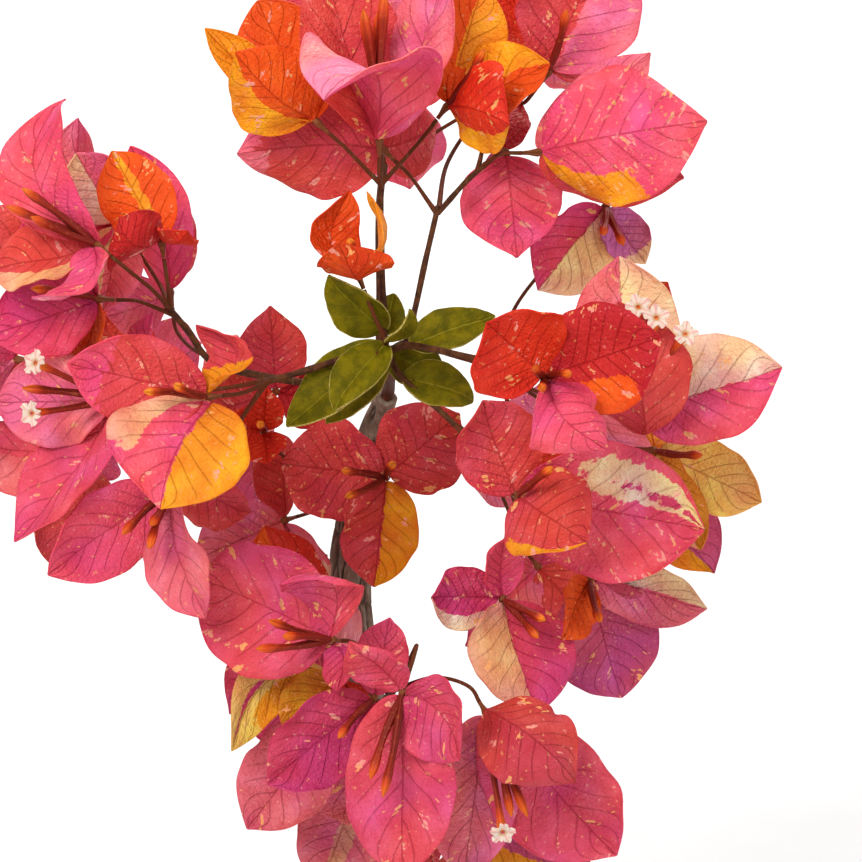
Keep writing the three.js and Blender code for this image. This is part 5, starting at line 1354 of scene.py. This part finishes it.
@cache
def paper_material():
    """Bract paper: its own colour drifting to orange and to pale pink, the pale pink partly its own tone and
    partly a painted sheen, painted shade toward its base, ragged sectors, a midrib with side veins and a net
    between them, and cream flecks that run along the veins."""
    n = Nodes("bract_paper")
    where = n.spread()
    rib, reach, run = n.parts("blade")
    first, second, aside = n.parts("sector")
    flecks, bend, _ = n.parts("marks")
    away = n.math("ABSOLUTE", rib)
    near = n.math("ABSOLUTE", aside)
    # noise along the veins, over the sheet, and finer
    side = n.math("MULTIPLY", n.math("GREATER_THAN", rib, 0.0), 7.3)
    along = {0: n.math("MULTIPLY", run, 2.4), 1: n.math("MULTIPLY_ADD", near, 1.5, side)}
    streak = n.flat_noise(n.add("CombineXYZ", along).outputs[0], 1.0, 3.0, 0.62)
    cloud = n.flat_noise(where, 0.5, 1.0)
    drift = n.flat_noise(where, 1.2)
    fleck = n.flat_noise(where, 5.2, 2.0, 0.6)
    fine = n.flat_noise(where, 9.0, 2.0, 0.6)
    # the paper, its sectors, its drifts of colour, pale pink drifts that are partly a painted sheen, and
    # painted shade toward the base
    colour = n.mark("paper")["Color"]
    ragged = n.math("MULTIPLY_ADD", streak, 0.22, n.math("MULTIPLY_ADD", fine, 0.06, -0.14))
    for field, patch in ((first, "patch_a"), (second, "patch_b")):
        edge = n.ramp(n.math("ADD", field, ragged), -0.008, 0.02)
        colour = n.mix(edge, colour, n.mark(patch)["Color"])
    colour = n.tint(n.ramp(cloud, 0.45, 0.75, 0.0, 0.8), colour, (1.05, 1.12, 0.76))
    colour = n.tint(n.ramp(cloud, 0.5, 0.25, 0.0, 0.8), colour, (0.96, 0.95, 1.5))
    # pale pink drifts: partly the paper's own tone, partly a painted sheen
    colour = n.tint(n.ramp(drift, 0.45, 0.75, 0.0, 0.8), colour, (1.12, 1.5, 1.5))
    colour = n.tint(n.ramp(drift, 0.48, 0.25, 0.0, 0.5), colour, (0.85, 0.5, 0.65))
    # painted shade: darker and redder toward the base, where the bracts fold together at the heart
    colour = n.tint(n.ramp(reach, 0.3, 0.0, 0.0, 0.4), colour, (0.8, 0.45, 0.5))
    # midrib, side veins and the net
    outer = n.math("MULTIPLY_ADD", reach, -0.03, 0.048)
    inner = n.math("MULTIPLY_ADD", reach, -0.012, 0.015)
    midrib = n.ramp(near, outer, inner)
    side_vein = n.math("MULTIPLY", n.ramp(n.side_wave(rib, bend), 0.07, 0.0), n.ramp(away, 1.0, 0.6))
    swirl = n.add("VectorMath", {0: where, 1: n.math("MULTIPLY", fine, 0.22)}, operation="ADD").outputs[0]
    threads = n.ramp(n.net(swirl, 4.4), 0.07, 0.0, 0.0, 0.3)
    veins = n.math("MAXIMUM", midrib, n.math("MAXIMUM", n.math("MULTIPLY", side_vein, 0.45), threads))
    colour = n.tint(n.math("MULTIPLY", veins, 0.6), colour, (0.78, 0.36, 0.42))
    # cream flecks and a deeper rim
    island = n.ramp(n.math("MULTIPLY_ADD", flecks, 0.08, streak), 0.705, 0.73)
    speck = n.ramp(n.math("MULTIPLY_ADD", flecks, 0.1, fleck), 0.72, 0.78, 0.0, 0.5)
    spots = n.math("MULTIPLY", n.math("MAXIMUM", island, speck), 0.8)
    cream = n.mix(n.ramp(drift, 0.4, 0.6), (0.9, 0.42, 0.14), (0.93, 0.36, 0.3))
    colour = n.mix(spots, colour, cream)
    colour = n.tint(n.ramp(away, 0.94, 1.0, 0.0, 0.4), colour, (0.8, 0.45, 0.5))
    height = n.math("MULTIPLY_ADD", n.math("MAXIMUM", midrib, side_vein), -0.5, fine)
    normal = n.bump(height, 0.0009, 0.85)
    rough = n.math("MULTIPLY_ADD", fine, 0.2, 0.4)
    return n.finish(n.surface(colour, rough, normal, 0.14))


@cache
def tube_material():
    """Flower tubes: dark red at the foot, brown-red above, a bright orange bud; collars are greener."""
    n = Nodes("flower_tube")
    turn, share, kind = n.parts("blade")
    where = n.space()
    cloud = n.noise(where, 160.0)
    ramp = n.add("ValToRGB", {"Fac": n.math("MULTIPLY_ADD", cloud, 0.22, n.math("SUBTRACT", share, 0.11))})
    stops = ramp.color_ramp.elements
    stops[0].position, stops[0].color = 0.0, (0.2, 0.016, 0.01, 1)
    stops[1].position, stops[1].color = 1.0, (0.8, 0.15, 0.008, 1)
    stops.new(0.55).color = (0.22, 0.012, 0.004, 1)
    stops.new(0.78).color = (0.32, 0.02, 0.004, 1)
    stops.new(0.88).color = (0.62, 0.06, 0.006, 1)
    ripe = n.math("MULTIPLY", n.ramp(share, 0.86, 0.95), n.ramp(n.noise(where, 24.0, 1.0), 0.45, 0.6))
    tone = n.mix(ripe, ramp.outputs["Color"], (0.88, 0.26, 0.015))
    colour = n.mix(n.ramp(kind, 0.5, 0.9), (0.2, 0.055, 0.014), tone)
    ribs = n.math("ABSOLUTE", n.math("SINE", n.math("MULTIPLY", turn, 5 * math.pi)))
    # painted shade: the grooves between the ribs are darkened
    colour = n.tint(n.ramp(ribs, 0.35, 0.0, 0.0, 0.5), colour, (0.5, 0.4, 0.4))
    colour = n.mix(n.ramp(n.noise(where, 900.0, 1.0), 0.6, 0.75, 0.0, 0.3), colour, (0.6, 0.16, 0.05))
    normal = n.bump(n.math("MULTIPLY_ADD", n.noise(where, 1400.0, 1.0), 0.4, ribs), 0.00025, 0.7)
    return n.finish(n.surface(colour, n.math("MULTIPLY_ADD", cloud, 0.25, 0.34), normal, 0.22))


@cache
def star_material():
    """Open flowers: white lobes blushed pink toward a yellow-green throat, with a crease down each."""
    n = Nodes("open_flower")
    out, _, turn = n.parts("blade")
    where = n.space()
    crease = n.math("ABSOLUTE", n.math("SINE", n.math("MULTIPLY", turn, 2.5)))
    blush = n.mix(n.ramp(out, 0.45, 0.1), (0.93, 0.8, 0.68), (0.66, 0.36, 0.08))
    ragged = n.math("ADD", crease, n.math("MULTIPLY", n.noise(where, 700.0), 0.3))
    blush = n.mix(n.ramp(ragged, 0.55, 0.12, 0.0, 0.75), blush, (0.86, 0.3, 0.3))
    normal = n.bump(n.math("ADD", crease, n.noise(where, 1500.0, 3.0)), 0.0002, 0.6)
    rough = n.ramp(n.noise(where, 500.0), 0.0, 1.0, 0.45, 0.7)
    return n.finish(n.lit_through(0.25, n.surface(blush, rough, normal), blush, normal))


@cache
def leaf_material(dark, pale):
    """Leaves: olive green, paler along the veins, with a ragged yellow-cream margin and pale flecks."""
    n = Nodes("leaf")
    where = n.spread()
    rib, reach, aside = n.parts("blade")
    cloud = n.flat_noise(where, 2.0, 3.0, 0.6)
    fine = n.flat_noise(where, 14.0, 2.0, 0.6)
    colour = n.mix(n.ramp(cloud, 0.3, 0.7), dark, pale)
    away = n.math("ABSOLUTE", rib)
    margin = n.ramp(n.math("MULTIPLY_ADD", cloud, 0.06, away), 0.99, 1.03)
    colour = n.mix(margin, colour, n.mix(n.ramp(fine, 0.35, 0.65), (0.62, 0.5, 0.14), (0.42, 0.34, 0.08)))
    midrib = n.ramp(n.math("ABSOLUTE", aside), 0.5, 0.2)
    wave = n.side_wave(rib, n.math("MULTIPLY_ADD", away, -VEIN_SLANT, reach))
    side_vein = n.math("MULTIPLY", n.ramp(wave, 0.06, 0.015), 0.7)
    veins = n.math("MAXIMUM", side_vein, n.ramp(n.net(where, 8.0), 0.07, 0.0, 0.0, 0.35))
    veins = n.math("MAXIMUM", midrib, veins)
    colour = n.mix(n.math("MULTIPLY", veins, 0.5), colour, (0.34, 0.29, 0.02))
    colour = n.mix(n.ramp(fine, 0.62, 0.75, 0.0, 0.4), colour, (0.3, 0.22, 0.02))
    normal = n.bump(n.math("MULTIPLY_ADD", veins, -0.8, n.math("MULTIPLY", fine, 0.6)), 0.0004, 0.8)
    solid = n.surface(colour, n.math("MULTIPLY_ADD", fine, 0.25, 0.36), normal, 0.08)
    glow = n.mix(1.0, colour, (1.6, 1.8, 0.8), "MULTIPLY")
    return n.finish(n.lit_through(0.2, solid, glow, normal))


@cache
def shoot_material():
    """Shoots: red-brown bark with pale dashes along it, greener and redder in the thin pedicels."""
    n = Nodes("shoot_bark")
    _, _, kind = n.parts("blade")
    where = n.space()
    streak = n.noise(n.spread(), 5.0, 4.0, 0.6)
    grain = n.noise(where, 420.0, 4.0, 0.65)
    old = n.mix(n.ramp(grain, 0.35, 0.65), (0.05, 0.015, 0.006), (0.12, 0.042, 0.014))
    young = n.mix(n.ramp(streak, 0.35, 0.65), (0.09, 0.034, 0.006), (0.15, 0.02, 0.008))
    colour = n.mix(n.ramp(kind, 0.3, 0.7), old, young)
    dash = n.ramp(n.dots(n.space((1, 1, 0.35)), 520.0), 0.28, 0.16)
    colour = n.mix(n.math("MULTIPLY", dash, 0.25), colour, (0.26, 0.13, 0.05))
    normal = n.bump(n.math("MULTIPLY_ADD", dash, 0.6, grain), 0.0003, 0.8)
    return n.finish(n.surface(colour, n.ramp(grain, 0.2, 0.8, 0.5, 0.8), normal, 0.15))


@cache
def bark_material(dark, pale):
    """Old bark: grey-brown plates, dark with painted shade in the fissures, with long fibres, pale scabs and
    some green.
    """
    n = Nodes("trunk_bark")
    split, share, _ = n.parts("blade")
    where = n.space()
    fibre = n.noise(n.space((1, 1, 0.3)), 620.0, 5.0, 0.7)
    broad = n.noise(where, 60.0, 3.0)
    plate = n.mix(n.ramp(broad, 0.35, 0.65), dark, pale)
    colour = n.tint(n.ramp(fibre, 0.7, 0.35), plate, (0.55, 0.5, 0.45))
    # painted shade: the fissures are darkened almost to black
    colour = n.mix(n.ramp(split, 0.7, 0.0, 0.0, 0.85), colour, (0.045, 0.03, 0.02))
    colour = n.mix(n.ramp(n.noise(where, 190.0, 4.0, 0.7), 0.6, 0.7, 0.0, 0.6), colour, (0.42, 0.38, 0.31))
    moist = n.ramp(n.noise(where, 110.0, 3.0), 0.5, 0.65, 0.0, 0.6)
    colour = n.mix(n.math("MULTIPLY", n.ramp(share, 0.25, 0.05), moist), colour, (0.08, 0.1, 0.03))
    normal = n.bump(n.math("MULTIPLY_ADD", fibre, 0.7, n.math("MULTIPLY", split, 0.5)), 0.0009, 0.9)
    return n.finish(n.surface(colour, n.ramp(fibre, 0.2, 0.8, 0.95, 0.72), normal, 0.2))


@cache
def glaze_material(dark, pale):
    """Stoneware: dark brown clay with iron specks, drifts of ash grey, wiped paler along its edges."""
    n = Nodes("stoneware")
    where = n.space()
    cloudy = {"Vector": where, "Scale": 26.0, "Detail": 4.0, "Roughness": 0.6, "Distortion": 0.6}
    cloud = n.add("TexNoise", cloudy).outputs["Fac"]
    grain = n.noise(where, 900.0, 3.0, 0.7)
    lines = n.noise(n.space((1, 1, 9)), 38.0, 2.0, 0.4)
    colour = n.mix(n.ramp(cloud, 0.35, 0.68), dark, pale)
    colour = n.mix(n.ramp(lines, 0.45, 0.7, 0.0, 0.4), colour, (0.17, 0.115, 0.085))
    speck = n.ramp(n.dots(where, 480.0), 0.24, 0.16)
    colour = n.mix(n.math("MULTIPLY", speck, 0.6), colour, (0.02, 0.012, 0.01))
    edge = n.ramp(n.add("NewGeometry").outputs["Pointiness"], 0.5, 0.56)
    colour = n.mix(n.math("MULTIPLY", edge, 0.5), colour, (0.25, 0.17, 0.12))
    normal = n.bump(n.math("MULTIPLY_ADD", grain, 0.5, n.math("MULTIPLY", lines, 0.8)), 0.0005, 0.6)
    rough = n.math("MULTIPLY_ADD", cloud, 0.4, n.math("MULTIPLY_ADD", grain, 0.15, 0.22))
    coat = {"Coat Weight": 0.12, "Coat Roughness": 0.35}
    return n.finish(n.surface(colour, rough, normal, **coat))


@cache
def earth_material(dark, pale):
    """Soil: dark brown crumbs, pale grit, and cushions of moss in two greens with a fine nap."""
    n = Nodes("earth")
    moss, grit, _ = n.parts("marks")
    where = n.space()
    crumb = n.noise(where, 520.0, 5.0, 0.7)
    broad = n.noise(where, 70.0, 3.0)
    colour = n.mix(n.ramp(crumb, 0.35, 0.68), (0.022, 0.013, 0.008), (0.095, 0.058, 0.035))
    stone = n.mix(n.ramp(broad, 0.3, 0.7), (0.3, 0.19, 0.11), (0.2, 0.17, 0.14))
    stone = n.mix(n.ramp(crumb, 0.4, 0.6, 0.0, 0.5), stone, (0.12, 0.08, 0.05))
    colour = n.mix(n.ramp(grit, 0.05, 0.2), colour, n.mix(grit, (0.11, 0.07, 0.045), stone))
    nap = n.noise(where, 1500.0, 3.0, 0.7)
    green = n.mix(n.ramp(nap, 0.35, 0.65), dark, pale)
    green = n.mix(n.ramp(broad, 0.4, 0.65, 0.0, 0.5), green, (0.16, 0.16, 0.03))
    cover = n.ramp(n.math("MULTIPLY_ADD", crumb, 0.4, moss), 0.35, 0.55)
    colour = n.mix(cover, colour, green)
    normal = n.bump(n.mix(cover, crumb, n.math("MULTIPLY", nap, 1.4)), 0.0012, 1.0)
    return n.finish(n.surface(colour, n.ramp(crumb, 0.3, 0.7, 0.95, 0.78), normal, 0.2))


@cache
def floor_material():
    """A plain pale sweep of matt paper."""
    n = Nodes("pale_floor")
    colour = n.mix(n.noise(n.space(), 40.0, 1.0), (0.86, 0.86, 0.855), (0.9, 0.9, 0.895))
    inputs = {"Base Color": colour, "Roughness": 0.9, "Specular IOR Level": 0.1}
    return n.finish(n.add("BsdfPrincipled", inputs).outputs[0])


def bloom_materials():
    return [paper_material(), tube_material(), star_material()]


# ---------------------------------------------------------------- stage, lights and camera


def look_at(thing, eye, target, up):
    """Sets a lamp or the camera at `eye`, looking along its own -Z at `target` with `up` upward."""
    back = unit(np.array(eye, float) - np.array(target, float))
    side = unit(np.cross(up, back))
    rise = np.cross(back, side)
    turn = np.eye(4)
    turn[:3, 0], turn[:3, 1], turn[:3, 2], turn[:3, 3] = side, rise, back, eye
    thing.matrix_world = Matrix(turn.tolist())


# Each lamp's place and its aim from the crown's middle, in metres, then its size, its share of the key
# lamp's power and its colour. The floor lamp lights the sweep behind the tree.
LAMPS = {
    "key_lamp": ((-0.7, -1.0, 1.25), (0.0, 0.0, 0.0), 0.9, 1.0, (1.0, 0.97, 0.93)),
    "fill_lamp": ((1.2, -0.8, 0.7), (0.0, 0.0, 0.0), 1.2, 0.32, (0.95, 0.97, 1.0)),
    "rim_lamp": ((0.3, 1.1, 1.2), (0.0, 0.0, 0.0), 0.8, 0.6, (1.0, 1.0, 1.0)),
    "floor_lamp": ((0.0, 2.6, 1.6), (0.0, 3.4, -0.3), 2.4, 1.8, (1.0, 1.0, 1.0)),
}
LAMP_UP = (0.0, 0.1, 1.0)
FLOOR_POINTS = 121


def make_stage(settings):
    """A pale round floor that curves up far from the tree, soft lamps, a soft sky and the camera.
    Its height is 0 out to three quarters of its reach and then that of a quarter circle."""
    reach = settings.floor_size
    line = np.linspace(-reach, reach, FLOOR_POINTS)
    across, deep = np.meshgrid(line, line, indexing="ij")
    rise = reach / 4
    beyond = np.clip((np.hypot(across, deep) - reach + rise) / rise, 0, 1)
    points = np.stack([across, deep, rise * (1 - np.sqrt(1 - beyond**2))], -1)
    faces = grid_faces(np.arange(across.size).reshape(across.shape))
    mesh = bpy.data.meshes.new("floor")
    mesh.from_pydata(points.reshape(-1, 3).tolist(), [], faces.tolist())
    mesh.polygons.foreach_set("use_smooth", [True] * len(faces))
    mesh.materials.append(floor_material())
    linked("floor", mesh)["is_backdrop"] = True
    crown = CROWN_AT * MM
    for name, (away, aimed, size, share, tone) in LAMPS.items():
        lamp = bpy.data.lights.new(name, "AREA")
        lamp.shape, lamp.size, lamp.energy, lamp.color = "DISK", size, settings.key_power * share, tone
        look_at(linked(name, lamp), crown + away, crown + aimed, LAMP_UP)
    world = bpy.data.worlds.new("soft_sky")
    world.use_nodes = True
    sky = world.node_tree.nodes["Background"]
    sky.inputs["Color"].default_value = (1.0, 1.0, 1.0, 1)
    sky.inputs["Strength"].default_value = settings.sky_strength
    bpy.context.scene.world = world
    lens = bpy.data.cameras.new("front_camera")
    lens.angle = 2 * math.atan(HALF_FRAME / FRONT_AWAY)
    lens.clip_start, lens.clip_end = 0.01, 50
    camera = linked("front_camera", lens)
    look_at(camera, crown + TOWARD * FRONT_AWAY * MM, crown, UP)
    bpy.context.scene.camera = camera
    bpy.context.scene.view_settings.view_transform = "Standard"


# ---------------------------------------------------------------- settings, operators and panel


class BonsaiTraySettings(bpy.types.PropertyGroup):
    facets: bpy.props.IntProperty(
        name="Facets", description="Points round the tray's outline", default=160, min=48,
    )
    dark_clay: bpy.props.FloatVectorProperty(
        name="Dark clay", description="The darker tone of the tray's clay",
        default=(0.055, 0.03, 0.02), subtype="COLOR", min=0, max=1,
    )
    pale_clay: bpy.props.FloatVectorProperty(
        name="Pale clay", description="The paler tone of the tray's clay",
        default=(0.13, 0.075, 0.05), subtype="COLOR", min=0, max=1,
    )


class BonsaiSoilSettings(bpy.types.PropertyGroup):
    facets: bpy.props.IntProperty(
        name="Facets", description="Points round the soil's outline", default=220, min=48,
    )
    grit: bpy.props.IntProperty(
        name="Grit", description="How many grains lie on the soil", default=420, min=0,
    )
    dark_moss: bpy.props.FloatVectorProperty(
        name="Dark moss", description="The darker tone of the moss",
        default=(0.02, 0.045, 0.006), subtype="COLOR", min=0, max=1,
    )
    pale_moss: bpy.props.FloatVectorProperty(
        name="Pale moss", description="The paler tone of the moss",
        default=(0.11, 0.17, 0.025), subtype="COLOR", min=0, max=1,
    )


class BonsaiTrunkSettings(bpy.types.PropertyGroup):
    sides: bpy.props.IntProperty(name="Sides", description="Points round each ring", default=96, min=24)
    rings: bpy.props.IntProperty(name="Rings", description="Rings along the trunk", default=330, min=60)
    bark_depth: bpy.props.FloatProperty(
        name="Bark depth", description="How deep the fissures are",
        default=0.0009, unit="LENGTH", subtype="DISTANCE",
    )
    dark_bark: bpy.props.FloatVectorProperty(
        name="Dark bark", description="The darker tone of the bark's plates",
        default=(0.2, 0.15, 0.105), subtype="COLOR", min=0, max=1,
    )
    pale_bark: bpy.props.FloatVectorProperty(
        name="Pale bark", description="The paler tone of the bark's plates",
        default=(0.33, 0.28, 0.22), subtype="COLOR", min=0, max=1,
    )


class BonsaiStemSettings(bpy.types.PropertyGroup):
    leaf_thickness: bpy.props.FloatProperty(
        name="Leaf thickness", description="Thickness of a leaf",
        default=0.0005, unit="LENGTH", subtype="DISTANCE",
    )
    dark_leaf: bpy.props.FloatVectorProperty(
        name="Dark leaf", description="The darker green of the leaves",
        default=(0.12, 0.105, 0.002), subtype="COLOR", min=0, max=1,
    )
    pale_leaf: bpy.props.FloatVectorProperty(
        name="Pale leaf", description="The paler green of the leaves",
        default=(0.25, 0.2, 0.003), subtype="COLOR", min=0, max=1,
    )


class BonsaiBloomSettings(bpy.types.PropertyGroup):
    thickness: bpy.props.FloatProperty(
        name="Paper thickness", description="Thickness of a bract",
        default=0.0004, unit="LENGTH", subtype="DISTANCE",
    )
    curl: bpy.props.FloatProperty(
        name="Curl", description="How far a bract's margins turn to and fro", default=0.62, subtype="ANGLE",
    )
    point: bpy.props.FloatProperty(
        name="Point", description="How much a bract narrows to its tip", default=0.65, min=0, max=1,
    )
    rows: bpy.props.IntProperty(name="Rows", description="Points along a bract", default=44, min=8)
    columns: bpy.props.IntProperty(name="Columns", description="Points across a bract", default=25, min=5)


class BonsaiStageSettings(bpy.types.PropertyGroup):
    floor_size: bpy.props.FloatProperty(
        name="Floor size", description="Half the width of the floor",
        default=5.2, unit="LENGTH", subtype="DISTANCE",
    )
    key_power: bpy.props.FloatProperty(
        name="Key lamp", description="Power of the brightest lamp", default=22.0, unit="POWER",
    )
    sky_strength: bpy.props.FloatProperty(name="Sky", description="Strength of the soft sky", default=0.5)


class BONSAI_OT_tray(bpy.types.Operator):
    """Make the oblong stoneware tray with its feet and drain holes"""

    bl_idname = "bonsai.tray"
    bl_label = "Tray"
    bl_options = {"REGISTER", "UNDO"}

    def execute(self, context):
        make_tray(context.scene.bonsai_tray)
        return {"FINISHED"}


class BONSAI_OT_soil(bpy.types.Operator):
    """Make the mounded soil with its moss and grit"""

    bl_idname = "bonsai.soil"
    bl_label = "Soil"
    bl_options = {"REGISTER", "UNDO"}

    def execute(self, context):
        make_soil(context.scene.bonsai_soil)
        return {"FINISHED"}


class BONSAI_OT_trunk(bpy.types.Operator):
    """Make the ridged trunk and its bark"""

    bl_idname = "bonsai.trunk"
    bl_label = "Trunk"
    bl_options = {"REGISTER", "UNDO"}

    def execute(self, context):
        make_trunk(context.scene.bonsai_trunk)
        return {"FINISHED"}


class BONSAI_OT_stems(bpy.types.Operator):
    """Make the leafy stems with their pedicels"""

    bl_idname = "bonsai.stems"
    bl_label = "Leafy stems"
    bl_options = {"REGISTER", "UNDO"}

    def execute(self, context):
        for name, entry in LEAFY_STEMS.items():
            make_stem(name, entry, context.scene.bonsai_stems)
        return {"FINISHED"}


class BONSAI_OT_blooms(bpy.types.Operator):
    """Make the blooms of the front"""

    bl_idname = "bonsai.blooms"
    bl_label = "Blooms"
    bl_options = {"REGISTER", "UNDO"}

    def execute(self, context):
        for name, flower in BLOOMS.items():
            make_bloom(name, flower, context.scene.bonsai_blooms)
        return {"FINISHED"}


class BONSAI_OT_far_blooms(bpy.types.Operator):
    """Make the blooms of the far side"""

    bl_idname = "bonsai.far_blooms"
    bl_label = "Far blooms"
    bl_options = {"REGISTER", "UNDO"}

    def execute(self, context):
        for number, name in enumerate(FAR_BLOOMS):
            make_far_bloom(name, number, context.scene.bonsai_blooms)
        return {"FINISHED"}


class BONSAI_OT_stage(bpy.types.Operator):
    """Make the pale floor, the soft lamps and the camera"""

    bl_idname = "bonsai.stage"
    bl_label = "Stage"
    bl_options = {"REGISTER", "UNDO"}

    def execute(self, context):
        make_stage(context.scene.bonsai_stage)
        return {"FINISHED"}


class BONSAI_PT_panel(bpy.types.Panel):
    """The bonsai's pieces and their settings"""

    bl_idname = "BONSAI_PT_panel"
    bl_label = "Bougainvillea Bonsai"
    bl_space_type = "VIEW_3D"
    bl_region_type = "UI"
    bl_category = "Bonsai"

    def draw(self, context):
        for operator, settings in STEPS:
            box = self.layout.box()
            box.operator(operator.bl_idname)
            group = getattr(context.scene, settings)
            for key in group.__annotations__:
                box.prop(group, key)


STEPS = (
    (BONSAI_OT_stage, "bonsai_stage"),
    (BONSAI_OT_tray, "bonsai_tray"),
    (BONSAI_OT_soil, "bonsai_soil"),
    (BONSAI_OT_trunk, "bonsai_trunk"),
    (BONSAI_OT_stems, "bonsai_stems"),
    (BONSAI_OT_blooms, "bonsai_blooms"),
    (BONSAI_OT_far_blooms, "bonsai_blooms"),
)
SETTINGS = {
    "bonsai_stage": BonsaiStageSettings,
    "bonsai_tray": BonsaiTraySettings,
    "bonsai_soil": BonsaiSoilSettings,
    "bonsai_trunk": BonsaiTrunkSettings,
    "bonsai_stems": BonsaiStemSettings,
    "bonsai_blooms": BonsaiBloomSettings,
}
CLASSES = (*SETTINGS.values(), *(operator for operator, _ in STEPS), BONSAI_PT_panel)


def register():
    for cls in CLASSES:
        bpy.utils.register_class(cls)
    for key, group in SETTINGS.items():
        setattr(bpy.types.Scene, key, bpy.props.PointerProperty(type=group))


def unregister():
    for key in SETTINGS:
        delattr(bpy.types.Scene, key)
    for cls in reversed(CLASSES):
        bpy.utils.unregister_class(cls)


def main():
    register()
    bpy.ops.bonsai.stage()
    bpy.ops.bonsai.tray()
    bpy.ops.bonsai.soil()
    bpy.ops.bonsai.trunk()
    bpy.ops.bonsai.stems()
    bpy.ops.bonsai.blooms()
    bpy.ops.bonsai.far_blooms()
    sizes = {
        "cad": [list(map(float, corner)) for corner in CAD_BOX],
        "scene": [list(map(float, corner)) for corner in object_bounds()],
    }


if __name__ == "__main__":
    main()
